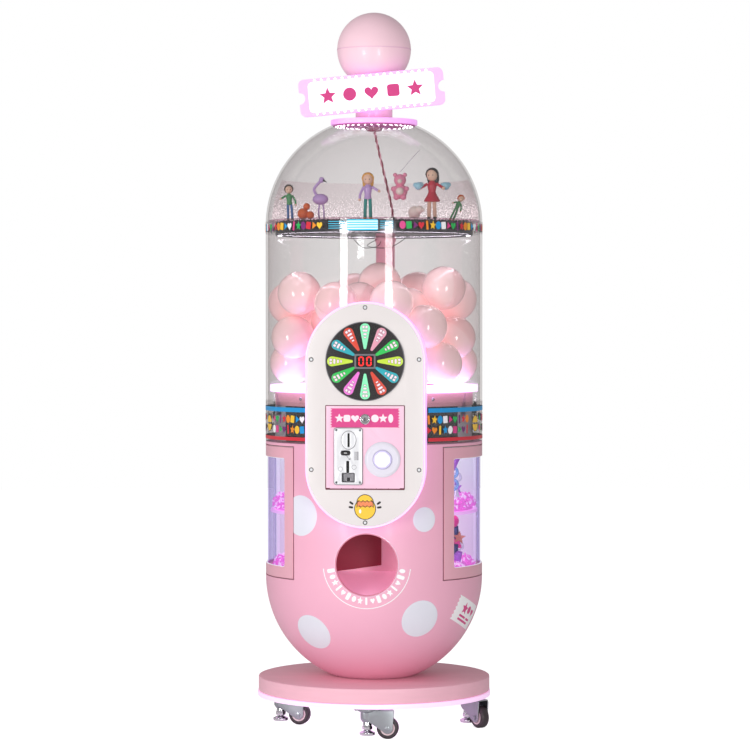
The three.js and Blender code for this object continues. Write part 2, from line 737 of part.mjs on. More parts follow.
function coinAcceptor() {
  const { x, z, width, height, back } = COIN;
  const shape = roundedRectangle(width, height, 6);
  const face = plate(shape, COIN_FRONT, HATCH.frontY - GAP, 3).translate([x, 0, z]);
  const [w, h] = [width / 2 - 2, height / 2 - 3];
  const mechanism = box(x - w, x + w, HATCH.frontY - 1, back, z - h, z + h);
  const inletBoss = rod(16, x + 1, z + 36, COIN_FRONT - 1.5, COIN_FRONT + 1, 20);
  const slot = box(x - 0.7, x + 2.7, -300, -250, z + 21, z + 51);
  const returnCup = box(x - 13, x + 13, -300, HATCH.frontY + 12, z - 56, z - 38);
  const buttonHole = box(x - 15.5, x + 3.5, -300, HATCH.frontY + 9, z + 3, z + 12);
  return cut(join(face, mechanism, inletBoss), slot, returnCup, buttonHole);
}

add("coin_acceptor", MATERIAL.chrome, coinAcceptor());

function coinReturnButton() {
  const { x, z } = COIN;
  return box(x - 15, x + 3, COIN_FRONT - 2.5, HATCH.frontY + 4, z + 3.5, z + 11.5);
}

add("coin_return_button", MATERIAL.black, coinReturnButton());

const BUTTON_SEAT = HATCH.frontY - GAP;

function buttonBezel() {
  const profile = [
    [24, 0], [39.5, 0], [39.5, 1.5], [34, 4.5], [21.5, 4.5], [21.5, -12], [8.4, -12], [8.4, -16],
    [24, -16], [24, 0],
  ];
  return turnedForward(profile, BUTTON.x, BUTTON_SEAT, BUTTON.z, 16);
}

function buttonCap() {
  const profile = [
    [0, -24], [7.9, -24], [7.9, -7.7], [21, -7.7], [21, 4.8], [17, 7.6], [9, 9.6], [0, 10.2],
  ];
  return turnedForward(profile, BUTTON.x, BUTTON_SEAT, BUTTON.z, 16);
}

add("button_bezel", MATERIAL.white, buttonBezel());
add("button_cap", MATERIAL.litAcrylic, buttonCap());

export default machine;
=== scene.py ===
"""The looks of a capsule toy vendor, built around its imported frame.

Shapes are made in millimetres and turned into metres by piece(). Angles named phi are in degrees
round the cabinet's axis, counted from the front (-Y) towards +X, as in the frame.
"""
import math
import random

import bmesh
import bpy
from mathutils import Euler, Matrix, Vector


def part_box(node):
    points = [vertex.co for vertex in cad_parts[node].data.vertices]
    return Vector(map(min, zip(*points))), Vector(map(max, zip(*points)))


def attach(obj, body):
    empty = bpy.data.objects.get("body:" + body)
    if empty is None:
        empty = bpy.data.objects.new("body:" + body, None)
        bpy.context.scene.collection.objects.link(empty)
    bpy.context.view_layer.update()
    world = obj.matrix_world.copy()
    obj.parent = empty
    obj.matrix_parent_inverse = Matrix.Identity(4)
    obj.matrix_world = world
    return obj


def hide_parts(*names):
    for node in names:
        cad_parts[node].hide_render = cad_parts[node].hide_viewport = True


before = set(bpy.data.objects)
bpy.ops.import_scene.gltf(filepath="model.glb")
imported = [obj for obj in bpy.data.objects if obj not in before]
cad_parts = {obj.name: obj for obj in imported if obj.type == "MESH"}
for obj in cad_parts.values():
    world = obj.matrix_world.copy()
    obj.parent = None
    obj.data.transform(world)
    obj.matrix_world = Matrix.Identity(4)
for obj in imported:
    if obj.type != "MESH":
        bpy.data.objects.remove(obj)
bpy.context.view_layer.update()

MM = 0.001
FRONT, TOP = Matrix.Rotation(math.pi / 2, 4, "X"), Matrix.Identity(4)
random.seed(11)


def extent(node):
    """A node's lowest and highest corner, in millimetres."""
    low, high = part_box(node)
    return low / MM, high / MM


def heights(node):
    return [corner.z for corner in extent(node)]


def middle_of(node):
    low, high = extent(node)
    return (low + high) / 2


# ---- Sizes that the frame gives ------------------------------------------------------------------

BODY_R = extent("clear_tube")[1].x
TUBE_Z = heights("clear_tube")
SHELL_Z = heights("lower_shell")
DISC_Z = heights("base_disc")
LIGHT_Z = heights("base_light_plate")
PLATFORM_Z = heights("light_platform")
DRUM_Z = heights("inner_drum")
DRUM_R = extent("inner_drum")[1].x
SHOW_Z = heights("show_drum")
SHELF_Z = heights("show_shelf")
DOME_Z = heights("dome")
CAP_Z = heights("cap_ring")
FACE_Y = extent("panel_face")[0].y
WHEEL_Y = extent("prize_wheel")[0].y
HATCH_LOW, HATCH_HIGH = extent("service_hatch")

SHELL_WALL = 4
BOWL_Z = 349  # centre of the bowl-shaped bottom
DOME_CENTRE = 1155
PANEL_HALF, PANEL_LOW, PANEL_TOP = 133, 476, 978
WHEEL_Z = 846
OUTLET_R, OUTLET_Z = 70.5, 392


# ---- Camera and light ----------------------------------------------------------------------------

CAMERA = {"distance": 6480, "height": 944, "azimuth": 4.0, "lens": 134.6}
AIM = {"z": 810, "right": 2.2}


def around(radius, phi, z=0.0):
    """A point on a circle round the cabinet's axis."""
    angle = math.radians(phi)
    return Vector((radius * math.sin(angle), -radius * math.cos(angle), z))


def turn_by(degrees, axis="Z"):
    return Matrix.Rotation(math.radians(degrees), 4, axis)


def spun(radius, phi, z):
    """A place on a circle round the axis, turned so that its front faces outwards."""
    return Matrix.Translation(around(radius, phi, z)) @ turn_by(phi)


def random_turn():
    return Euler([random.uniform(0, math.tau) for _ in range(3)]).to_matrix().to_4x4()


def node(tree, kind, values):
    """A shader node. Each socket in values is set, or linked where its value is a socket."""
    made = tree.nodes.new("ShaderNode" + kind)
    for key, value in values.items():
        if isinstance(value, bpy.types.NodeSocket):
            tree.links.new(value, made.inputs[key])
        else:
            made.inputs[key].default_value = value
    return made


def make_camera():
    camera = bpy.data.objects.new("camera", bpy.data.cameras.new("camera"))
    bpy.context.scene.collection.objects.link(camera)
    camera.data.lens = CAMERA["lens"]
    camera.location = around(CAMERA["distance"], CAMERA["azimuth"], CAMERA["height"]) * MM
    aim = around(AIM["right"], CAMERA["azimuth"] + 90, AIM["z"]) * MM
    camera.rotation_euler = (aim - camera.location).to_track_quat("-Z", "Y").to_euler()
    camera.data.clip_end = 60
    bpy.context.scene.camera = camera


def soft_box(name, phi, distance, low, high, width, power, colour=(1, 1, 1)):
    """An upright rectangular lamp that faces the axis."""
    lamp = bpy.data.lights.new(name, "AREA")
    lamp.shape = "RECTANGLE"
    lamp.size, lamp.size_y = width * MM, (high - low) * MM
    lamp.energy = power
    lamp.color = colour
    holder = bpy.data.objects.new(name, lamp)
    bpy.context.scene.collection.objects.link(holder)
    holder.location = around(distance, phi, (low + high) / 2) * MM
    aim = Vector((0, 0, holder.location.z))
    holder.rotation_euler = (aim - holder.location).to_track_quat("-Z", "Y").to_euler()
    return holder


def make_world():
    """An even white room: a camera sees it brighter than it lights."""
    world = bpy.data.worlds.new("room")
    world.use_nodes = True
    tree = world.node_tree
    tree.nodes.clear()
    shades = [node(tree, "Background", {"Color": (1, 1, 1, 1), "Strength": strength}).outputs[0]
              for strength in (0.36, 1.0)]
    seen = node(tree, "LightPath", {}).outputs["Is Camera Ray"]
    mix = node(tree, "MixShader", {0: seen, 1: shades[0], 2: shades[1]})
    node(tree, "OutputWorld", {"Surface": mix.outputs[0]})
    bpy.context.scene.world = world
    bpy.context.scene.view_settings.view_transform = "Standard"


make_camera()
make_world()
soft_box("left_strip", CAMERA["azimuth"] - 31.4, 3600, 150, 1330, 480, 34)
soft_box("right_strip", CAMERA["azimuth"] + 15.1, 3600, 150, 1330, 480, 34)
soft_box("high_fill", CAMERA["azimuth"] - 60, 4200, 1900, 3600, 2200, 50).visible_glossy = False


# ---- Materials -----------------------------------------------------------------------------------


def shade(colour, factor=1.0):
    """A hex colour, darker or lighter by a factor, as the linear values that shaders take."""
    parts = [int(colour[i : i + 2], 16) / 255 for i in (0, 2, 4)]
    linear = [c / 12.92 if c <= 0.04045 else ((c + 0.055) / 1.055) ** 2.4 for c in parts]
    return (*(min(c * factor, 1) for c in linear), 1)


def new_material(name):
    material = bpy.data.materials.new(name)
    material.use_nodes = True
    material.node_tree.nodes.clear()
    return material, material.node_tree


def noise(tree, scale, stretch=(1, 1, 1)):
    """Noise in the row frame, with scale in cells to the metre."""
    where = node(tree, "TexCoord", {}).outputs["Object"]
    mapping = node(tree, "Mapping", {"Vector": where, "Scale": stretch}).outputs["Vector"]
    return node(tree, "TexNoise", {"Vector": mapping, "Scale": scale, "Detail": 2.0}).outputs["Fac"]


def spread(tree, factor, low, high, start=0.3, end=0.7):
    """Maps a factor's range start..end to low..high."""
    values = {"Value": factor, "From Min": start, "From Max": end, "To Min": low, "To Max": high}
    return node(tree, "MapRange", values).outputs["Result"]


def mixed(tree, factor, first, second):
    mix = tree.nodes.new("ShaderNodeMix")
    mix.data_type = "RGBA"
    mix.inputs[6].default_value = first
    mix.inputs[7].default_value = second
    tree.links.new(factor, mix.inputs[0])
    return mix.outputs[2]


def surface(
    name, colour, roughness, metal=0.0, coat=0.0, mottle=0.05, cloud=14, grain=900,
    bump=0.05, stretch=(1, 1, 1), glow=0.0, glow_colour=None,
):
    """An opaque finish: a mottled colour, uneven roughness and a fine grain."""
    material, tree = new_material(name)
    cloudy, fine = noise(tree, cloud, stretch), noise(tree, grain, stretch)
    ripple = node(tree, "Bump", {"Strength": bump, "Distance": 0.0004, "Height": fine})
    values = {
        "Base Color": mixed(tree, cloudy, shade(colour, 1 - mottle), shade(colour, 1 + mottle)),
        "Roughness": spread(tree, fine, roughness * 0.88, min(roughness * 1.12, 1)),
        "Metallic": metal,
        "Coat Weight": coat,
        "Coat Roughness": 0.08,
        "Normal": ripple.outputs["Normal"],
    }
    if glow:
        values["Emission Color"] = shade(glow_colour or colour)
        values["Emission Strength"] = glow
    shader = node(tree, "BsdfPrincipled", values)
    node(tree, "OutputMaterial", {"Surface": shader.outputs[0]})
    return material


def slant(tree, blend):
    """How far a surface turns away from the eye."""
    return node(tree, "LayerWeight", {"Blend": blend}).outputs["Facing"]


def clear(name, face, edge, gloss=1.0, speckle=None):
    """Clear plastic: see-through with a tint that deepens at the edge, and a mirror-like sheen."""
    material, tree = new_material(name)
    tint = mixed(tree, slant(tree, 0.35), shade(face), shade(edge))
    through = node(tree, "BsdfTransparent", {"Color": tint}).outputs[0]
    sheen = node(tree, "BsdfGlossy", {"Roughness": spread(tree, noise(tree, 5), 0.015, 0.03)})
    share = spread(tree, slant(tree, 0.1), 0.045 * gloss, 0.32 * gloss, 0, 1)
    shader = node(tree, "MixShader", {0: share, 1: through, 2: sheen.outputs[0]}).outputs[0]
    if speckle:
        shader = add_speckle(tree, shader, *speckle)
    node(tree, "OutputMaterial", {"Surface": shader})
    return material


FLECK_Z = (1.19, 1.262)  # metres: below the first the flecks are full size, above the second gone


def add_speckle(tree, shader, colour, cells, size):
    """Small round flecks scattered over another shader, fewer towards the top of the film; the flecks
    glow, as painted glints.
    """
    where = node(tree, "TexCoord", {}).outputs["Object"]
    spots = node(tree, "TexVoronoi", {"Vector": where, "Scale": cells}).outputs["Distance"]
    height = node(tree, "SeparateXYZ", {0: where}).outputs["Z"]
    inside = node(tree, "Math", {0: spots, 1: spread(tree, height, size, 0, *FLECK_Z)})
    inside.operation = "LESS_THAN"
    fleck = node(tree, "BsdfPrincipled", {
        "Base Color": shade(colour), "Roughness": 0.3,
        "Emission Color": shade(colour), "Emission Strength": 0.8,
    })
    mix = node(tree, "MixShader", {0: inside.outputs[0], 1: shader, 2: fleck.outputs[0]})
    return mix.outputs[0]


PAINT = surface("shell_paint", "F2B2C9", 0.46, coat=0.08, mottle=0.035, cloud=5,
                bump=0.08)
DOOR_PAINT = surface("door_paint", "EBAEBE", 0.42, coat=0.2, mottle=0.04, cloud=6,
                     bump=0.1)
DRUM_PAINT = surface("drum_paint", "EFB4BA", 0.4, mottle=0.05, cloud=9)
BOARD_PAINT = surface("board_paint", "F5BCCB", 0.5, mottle=0.06, cloud=30, bump=0.2,
                      grain=500, stretch=(0.15, 1, 3))
HATCH_PAINT = surface("hatch_paint", "F6C6DC", 0.34, coat=0.3, mottle=0.02, cloud=12)
PALE_PINK = surface("pale_plastic", "F3B4C6", 0.4, mottle=0.04, cloud=15)
CHUTE_PINK = surface("chute_plastic", "E693AB", 0.45, mottle=0.07, cloud=10)
# painted shadow: a dark red for the sheet that stands for the shade on the chute's back wall
CHUTE_SHADOW_RED = surface("painted_chute_shadow", "98394C", 0.5, mottle=0.1, cloud=12)
# painted light: the chute's back liner glows a little and its ramp more, though no lamp is in the chute
LINER_PINK = surface("liner_plastic", "FFC8DC", 0.5, mottle=0.05, cloud=12, glow=0.13)
RAMP_PINK = surface("ramp_plastic", "F9B8D2", 0.4, mottle=0.05, cloud=9,
                    glow=0.4, glow_colour="F0A2C4")
# painted shade: a dark red laid in and round the gaps of the doors, the hatch and the base, where shade
# falls
GAP_SHADE = surface("painted_gap_shade", "6A2238", 0.6, mottle=0.1)
# painted light: the topper's neck and globe glow a little, though they are painted plastic and no lamps
TOPPER_PINK = surface("topper_paint", "F3CCD8", 0.4, coat=0.2, mottle=0.02, glow=0.12)
FACE_WHITE = surface("panel_white", "E3DCDB", 0.35, coat=0.2, mottle=0.015, cloud=8)
WHITE = surface("white_plastic", "E2DEEA", 0.3, coat=0.3, mottle=0.02)
DOT_WHITE = surface("dot_film", "E6E6F0", 0.38, mottle=0.03, cloud=25)
# painted light: the display boxes' lining and jamb and the door openings' gaskets glow, and the door
# beads and linings beside the windows glow more, though none of them is a lamp
BOX_LINING = surface("box_lining", "DADFDA", 0.4, glow=0.42, glow_colour="C4D4CE")
STILE_LINING = surface("stile_lining", "DADFDA", 0.4, glow=0.58, glow_colour="CACFD8")
LILAC_LIGHT = surface("lilac_light", "F9DCF6", 0.35, glow=0.42, glow_colour="F7C6F7")
PANEL_LIGHT = surface("panel_light", "F6C9FF", 0.35, glow=0.62, glow_colour="F2B4FF")
WHITE_LIGHT = surface("white_light", "FFFFFF", 0.3, glow=7.0, glow_colour="FBF2FF")
SHOW_LIGHT = surface("show_light", "FFFFFF", 0.3, glow=13.0, glow_colour="FBF2FF")
LILAC_LAMP = surface("lilac_lamp", "FFFFFF", 0.3, glow=4.5, glow_colour="F4EEFF")
PLATFORM_LIGHT = surface("platform_light", "FFFFFF", 0.3, glow=2.6,
                         glow_colour="E0B4FF")
SHELF_LIGHT = surface("shelf_light", "FFD8FA", 0.3, glow=0.55, glow_colour="FFB0F0")
BUTTON_LIGHT = surface("button_light", "F4F2FC", 0.25, coat=0.4, glow=0.35)
BUTTON_RING = surface("button_ring", "D2CBEE", 0.3, glow=0.1, mottle=0.1, cloud=60)
BLACK = surface("black_gloss", "231F20", 0.28, coat=0.3, mottle=0.1)
# near-black: the counter's dark window, and painted shade laid in slots, keyways and screw sockets and
# behind the rear vents
DARK_GLASS_AND_SHADE = surface("dark_glass_and_painted_shade", "0E0C0D", 0.7)
MIRROR = surface("mirror_film", "77757B", 0.16, metal=1.0, mottle=0.35, cloud=30,
                 stretch=(1, 1, 0.05))
CHROME = surface("polished_steel", "DDDDE0", 0.14, metal=1.0, mottle=0.05)
PLATE_METAL = surface("satin_plate", "E2E2E5", 0.36, metal=0.4, coat=0.2, mottle=0.05,
                      grain=700, stretch=(1, 1, 12))
ZINC = surface("zinc", "A9AEB2", 0.34, metal=1.0, mottle=0.09, cloud=60,
               grain=500, bump=0.15)
# grey for print and plain grey parts, and painted shade round the coin plate and its openings
GREY = surface("grey_print_and_shade", "6E6C72", 0.5, mottle=0.12)
TREAD = surface("wheel_tread", "3B3236", 0.42, mottle=0.12, cloud=90, bump=0.2)
HUB = surface("wheel_hub", "E8CFD2", 0.35, mottle=0.05)
# painted light: both halves of every capsule glow a little, to brighten them inside the tube
CAPSULE = surface("capsule_shell", "FFE3E3", 0.13, coat=0.6, mottle=0.03, cloud=8,
                  bump=0.02, glow=0.25, glow_colour="FFCACA")
CAPSULE_LOW = surface("capsule_bowl", "FFDBDC", 0.16, coat=0.6, mottle=0.03, cloud=8,
                      bump=0.02, glow=0.22, glow_colour="FFC0C0")
CABLE = surface("cable_sheath", "9A3E52", 0.55, mottle=0.15, cloud=120, bump=0.3)
DIGIT_RED = surface("digit_red", "FF2A2A", 0.3, glow=2.2, glow_colour="FF1A1A")
COIN_GREY = surface("coin_grey", "8F8D92", 0.35, metal=0.6, mottle=0.08)
# painted light: the show deck glows a little, to brighten it under the shelf
DECK_PINK = surface("deck_pink", "F8DDE8", 0.4, mottle=0.05, glow=0.2)
CAP_LIGHT = surface("cap_light", "EFB6F2", 0.35, glow=0.5, glow_colour="F0A4F6")
BOARD_PINK = surface("lamp_board_pink", "DE78B4", 0.45, mottle=0.06)
HUB_PINK = surface("hub_pink", "8F2F49", 0.45, mottle=0.08)
SIGN_LIGHT = surface("sign_light", "FFF1FF", 0.35, glow=0.8, glow_colour="FBE3FF")
SIGN_EDGE = surface("sign_edge", "F2B8F8", 0.35, glow=0.45, glow_colour="F09CF5")
# painted light: the heaps of foam chips glow, though they are no lamps
CHIP_MOUND = surface("chip_mound", "E984D8", 0.5, mottle=0.3, cloud=160, bump=0.6, glow=0.4)
CLEAR = clear("clear_acrylic", "F9F8F8", "EEEBEB")
DOME_CLEAR = clear("dome_acrylic", "F9F8F8", "EEECEC")
WINDOW = clear("window_acrylic", "FBF9FE", "E0DAF0", gloss=0.8)
PRINT_FILM = clear("print_film", "FEFEFE", "F7F6F6", gloss=0.4)
SHELF_CLEAR = clear("shelf_acrylic", "FAF1F5", "F0DEE6")
GLITTER_FILM = clear("glitter_film", "FDF9FA", "FAF2F4", gloss=0.15,
                     speckle=("FFF8FA", 320, 0.36))


def print_colour(name, colour, glow=0.0, roughness=0.4):
    return surface(name, colour, roughness, mottle=0.03, cloud=40, glow=glow)


RED = print_colour("print_red", "D8303F")
BLUE = print_colour("print_blue", "1E9ADB")
GREEN = print_colour("print_green", "2FB35A")
ORANGE = print_colour("print_orange", "F0902B")
PURPLE = print_colour("print_purple", "7A2E74")
YELLOW = print_colour("print_yellow", "FBC93B")
AMBER = print_colour("print_amber", "F08A57")
HOT_PINK = print_colour("print_hot_pink", "DB4289")
# painted light: the cyan of the show sticker and its streaks glows, though it is print
CYAN = print_colour("print_cyan", "37C6EA", glow=0.25)
PRINT_WHITE = print_colour("print_white", "FDFBFD")
# painted light: the foam chips glow, though they are no lamps
CHIP_PINK = print_colour("chip_pink", "EA78D6", glow=0.5)
CHIP_WHITE = print_colour("chip_white", "F8E2F8", glow=0.5)
BANNER_CREAM = print_colour("banner_cream", "FFE3EC")
SHAPE_COLOURS = (RED, BLUE, GREEN, ORANGE, PRINT_WHITE, PURPLE, YELLOW, HOT_PINK)


# painted light: the foil packs glow a little, though they are no lamps
def foil(name, colour):
    return surface(f"foil_{name}", colour, 0.25, metal=0.4, mottle=0.3, cloud=45,
                   bump=0.3, glow=0.25)


def toy_colour(name, colour):
    return surface(f"toy_{name}", colour, 0.45, coat=0.2, mottle=0.05, cloud=60)


PACKS = {name: foil(name, colour) for name, colour in (
    ("sky", "8FB8EE"), ("violet", "B06BD0"), ("rose", "F0409A"), ("navy", "3A3F70"),
    ("frost", "E6E2FA"), ("copper", "C9806E"),
)}
TOY = {name: toy_colour(name, colour) for name, colour in (
    ("skin", "F5CFB5"), ("black", "2B2526"), ("blond", "E8B15A"), ("green", "4FA065"),
    ("blue", "4A78B8"), ("orange", "E8703A"), ("lilac", "C7A8E0"), ("teal", "2F9C93"),
    ("red", "C9344A"), ("pink", "F29BB8"), ("cream", "F6E6DE"), ("sky", "A8DDF0"),
)}


# ---- Shapes --------------------------------------------------------------------------------------


def join(*shapes):
    """One bmesh out of several; the others are used up."""
    whole = shapes[0]
    for shape in shapes[1:]:
        mesh = bpy.data.meshes.new("part")
        shape.to_mesh(mesh)
        whole.from_mesh(mesh)
        shape.free()
        bpy.data.meshes.remove(mesh)
    return whole


def moved(shape, matrix):
    bmesh.ops.transform(shape, matrix=matrix, verts=shape.verts)
    return shape


def at(shape, x, y, z, turn=TOP):
    return moved(shape, Matrix.Translation((x, y, z)) @ turn)


def mirrored(shape, sign):
    if sign > 0:
        return shape
    moved(shape, Matrix.Scale(-1, 4, (1, 0, 0)))
    bmesh.ops.reverse_faces(shape, faces=shape.faces)
    return shape


def piece(name, shape, material, body="cabinet", replaces=(), sharp=35):
    """Turns a shape into an object of the model: in metres, smooth, on its body."""
    moved(shape, Matrix.Scale(MM, 4))
    bmesh.ops.remove_doubles(shape, verts=shape.verts, dist=1e-6)
    bmesh.ops.recalc_face_normals(shape, faces=shape.faces)
    mesh = bpy.data.meshes.new(name)
    shape.to_mesh(mesh)
    shape.free()
    mesh.polygons.foreach_set("use_smooth", [True] * len(mesh.polygons))
    mesh.set_sharp_from_angle(angle=math.radians(sharp))
    obj = bpy.data.objects.new(name, mesh)
    bpy.context.scene.collection.objects.link(obj)
    mesh.materials.append(material)
    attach(obj, body)
    if replaces:
        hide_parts(*replaces)
    return obj


def arc(cx, cy, radius, start, end, steps):
    """Points on an arc; start and end are in degrees."""
    angles = [math.radians(start + (end - start) * i / steps) for i in range(steps + 1)]
    return [(cx + radius * math.cos(a), cy + radius * math.sin(a)) for a in angles]


def polar(radius, angle):
    return (radius * math.cos(math.radians(angle)), radius * math.sin(math.radians(angle)))


def circle(radius, sides=64, cx=0.0, cy=0.0):
    return arc(cx, cy, radius, 0, 360, sides)[:-1]


def ellipse(width, height, sides=48, cx=0.0, cy=0.0):
    return [(cx + x * width / 2, cy + y * height / 2) for x, y in circle(1, sides)]


def rectangle(width, height, radius=0.0, cx=0.0, cy=0.0, steps=6):
    w, h = width / 2, height / 2
    if not radius:
        return [(cx - w, cy - h), (cx + w, cy - h), (cx + w, cy + h), (cx - w, cy + h)]
    points = []
    for sx, sy, start in ((1, 1, 0), (-1, 1, 90), (-1, -1, 180), (1, -1, 270)):
        x, y = cx + sx * (w - radius), cy + sy * (h - radius)
        points += arc(x, y, radius, start, start + 90, steps)
    return points


def stadium(half, low, top, inset=0.0, steps=40):
    r = half - inset
    return arc(0, top - half, r, 0, 180, steps) + arc(0, low + half, r, 180, 360, steps)


def star(outer, inner, points=5, turn=90):
    radii = (outer, inner)
    return [polar(radii[i % 2], turn + 180 * i / points) for i in range(2 * points)]


def heart(size):
    angles = [math.tau * i / 32 for i in range(32)]
    return [
        (size / 17 * 8 * math.sin(t) ** 3, size / 34 * (13 * math.cos(t) - 5 * math.cos(2 * t)
         - 2 * math.cos(3 * t) - math.cos(4 * t)))
        for t in angles
    ]


def ticket(width, height, teeth=7, bite=3.5, left_only=False):
    """A rectangle with saw-tooth ends."""
    step = height / (2 * teeth)
    left = [(-width / 2 + (bite if i % 2 else 0), height / 2 - i * step)
            for i in range(2 * teeth + 1)]
    right = [(-x, -y) for x, y in left]
    return left + ([(width / 2, -height / 2), (width / 2, height / 2)] if left_only else right)


def plate(outline, thickness, holes=(), bevel=0.0):
    """A flat plate in XY with its back at z = 0, with rounded edges."""
    curve = bpy.data.curves.new("outline", "CURVE")
    curve.dimensions = "2D"
    curve.fill_mode = "BOTH"
    curve.extrude = thickness / 2 - bevel
    curve.bevel_depth = bevel
    curve.bevel_resolution = 2
    curve.offset = -bevel
    for loop in (outline, *holes):
        spline = curve.splines.new("POLY")
        spline.points.add(len(loop) - 1)
        for point, (x, y) in zip(spline.points, loop):
            point.co = (x, y, 0, 1)
        spline.use_cyclic_u = True
    holder = bpy.data.objects.new("outline", curve)
    bpy.context.scene.collection.objects.link(holder)
    graph = bpy.context.evaluated_depsgraph_get()
    mesh = bpy.data.meshes.new_from_object(holder.evaluated_get(graph))
    shape = bmesh.new()
    shape.from_mesh(mesh)
    bmesh.ops.remove_doubles(shape, verts=shape.verts, dist=1e-4)
    bmesh.ops.translate(shape, verts=shape.verts, vec=(0, 0, thickness / 2))
    bpy.data.objects.remove(holder)
    bpy.data.curves.remove(curve)
    bpy.data.meshes.remove(mesh)
    return shape


def lathe(profile, sides=128):
    """A solid of revolution about Z: the profile of (radius, z) is a loop or ends on the axis."""
    shape = bmesh.new()
    loop = profile[0] == profile[-1]
    rings = []
    for r, z in profile[:-1] if loop else profile:
        if r < 1e-6:
            rings.append([shape.verts.new((0, 0, z))] * sides)
            continue
        turns = [math.tau * i / sides for i in range(sides)]
        rings.append([shape.verts.new((r * math.cos(a), r * math.sin(a), z)) for a in turns])
    for low, high in zip(rings, rings[1:] + (rings[:1] if loop else [])):
        for i in range(sides):
            j = (i + 1) % sides
            corners = list(dict.fromkeys((low[i], low[j], high[j], high[i])))
            if len(corners) > 2:
                shape.faces.new(corners)
    return shape


def fillet(points, radius, steps=4):
    """A lathe profile with its corners rounded; the first and last points stay."""
    loop = points[0] == points[-1]
    body = points[:-1] if loop else points
    count = len(body)
    out = []
    for i, here in enumerate(body):
        if not loop and i in (0, count - 1):
            out.append(tuple(here))
            continue
        p, a, b = (Vector(body[k % count]) for k in (i, i - 1, i + 1))
        to_a, to_b = a - p, b - p
        reach = min(radius, to_a.length * 0.45, to_b.length * 0.45)
        start, end = p + to_a.normalized() * reach, p + to_b.normalized() * reach
        for k in range(steps + 1):
            t = k / steps
            spot = start * (1 - t) ** 2 + p * 2 * t * (1 - t) + end * t ** 2
            out.append((spot.x, spot.y))
    return out + [out[0]] if loop else out


def turned(points, radius, steps=4, sides=128):
    """A solid of revolution whose profile has rounded corners."""
    return lathe(fillet(points, radius, steps), sides)


def tube(points, radius, sides=12):
    """A round rod along a path, with flat ends."""
    path = [Vector(p) for p in points]
    shape = bmesh.new()
    rings = []
    side = None
    for i, p in enumerate(path):
        ahead = (path[min(i + 1, len(path) - 1)] - path[max(i - 1, 0)]).normalized()
        if side is None:
            side = ahead.orthogonal()
        side = (side - ahead * side.dot(ahead)).normalized()
        up = ahead.cross(side)
        r = radius[i] if isinstance(radius, (list, tuple)) else radius
        turns = [math.tau * k / sides for k in range(sides)]
        rings.append([shape.verts.new(p + (side * math.cos(a) + up * math.sin(a)) * r)
                      for a in turns])
    for low, high in zip(rings, rings[1:]):
        for i in range(sides):
            j = (i + 1) % sides
            shape.faces.new((low[i], low[j], high[j], high[i]))
    shape.faces.new(rings[0][::-1])
    shape.faces.new(rings[-1])
    return shape


def spline(points, steps=6):
    """A smooth path through given points."""
    p = [Vector(q) for q in points]
    p = [2 * p[0] - p[1]] + p + [2 * p[-1] - p[-2]]
    out = []
    for a, b, c, d in zip(p, p[1:], p[2:], p[3:]):
        for k in range(steps):
            t = k / steps
            out.append(0.5 * (2 * b + (c - a) * t + (2 * a - 5 * b + 4 * c - d) * t ** 2
                              + (3 * b - a - 3 * c + d) * t ** 3))
    return out + [p[-2]]


def ball(radius, sides=32, squash=(1, 1, 1)):
    shape = bmesh.new()
    bmesh.ops.create_uvsphere(shape, u_segments=sides, v_segments=sides // 2, radius=radius)
    return moved(shape, Matrix.Diagonal((*squash, 1)))


def block(x0, x1, y0, y1, z0, z1, bevel=0.0):
    shape = bmesh.new()
    bmesh.ops.create_cube(shape, size=1)
    size = Matrix.Diagonal((x1 - x0, y1 - y0, z1 - z0, 1))
    moved(shape, Matrix.Translation(((x0 + x1) / 2, (y0 + y1) / 2, (z0 + z1) / 2)) @ size)
    if bevel:
        bmesh.ops.bevel(shape, geom=shape.edges, offset=bevel, segments=2, affect="EDGES",
                        profile=0.5)
    return shape


def carve(shape, *cutters):
    """shape with the cutters taken out of it."""
    holders = []
    for each in (shape, *cutters):
        bmesh.ops.recalc_face_normals(each, faces=each.faces)
        mesh = bpy.data.meshes.new("carve")
        each.to_mesh(mesh)
        each.free()
        holder = bpy.data.objects.new("carve", mesh)
        bpy.context.scene.collection.objects.link(holder)
        holders.append(holder)
    for cutter in holders[1:]:
        step = holders[0].modifiers.new("cut", "BOOLEAN")
        step.operation, step.solver, step.object = "DIFFERENCE", "EXACT", cutter
    graph = bpy.context.evaluated_depsgraph_get()
    mesh = bpy.data.meshes.new_from_object(holders[0].evaluated_get(graph))
    result = bmesh.new()
    result.from_mesh(mesh)
    for holder in holders:
        data = holder.data
        bpy.data.objects.remove(holder)
        bpy.data.meshes.remove(data)
    bpy.data.meshes.remove(mesh)
    return result


def cut_plane(shape, point, normal, clear_outer=False):
    """Cuts a shape at a plane; clear_outer takes away what lies on the side normal points to."""
    geometry = shape.verts[:] + shape.edges[:] + shape.faces[:]
    bmesh.ops.bisect_plane(shape, geom=geometry, plane_co=point, plane_no=normal,
                           clear_outer=clear_outer)


def cut_open(shape, point, normal):
    """Takes away one side of a closed shape and closes the cut."""
    cut_plane(shape, point, normal, True)
    bmesh.ops.holes_fill(shape, edges=[edge for edge in shape.edges if edge.is_boundary])
    return shape


def sliced(shape, step, axes=(0,)):
    """Cuts a flat shape into strips, so that it can bend."""
    for axis in axes:
        normal = Vector((0, 0, 0))
        normal[axis] = 1
        low = min(v.co[axis] for v in shape.verts)
        high = max(v.co[axis] for v in shape.verts)
        for i in range(math.ceil(low / step), math.floor(high / step) + 1):
            cut_plane(shape, normal * i * step, normal)
    return shape


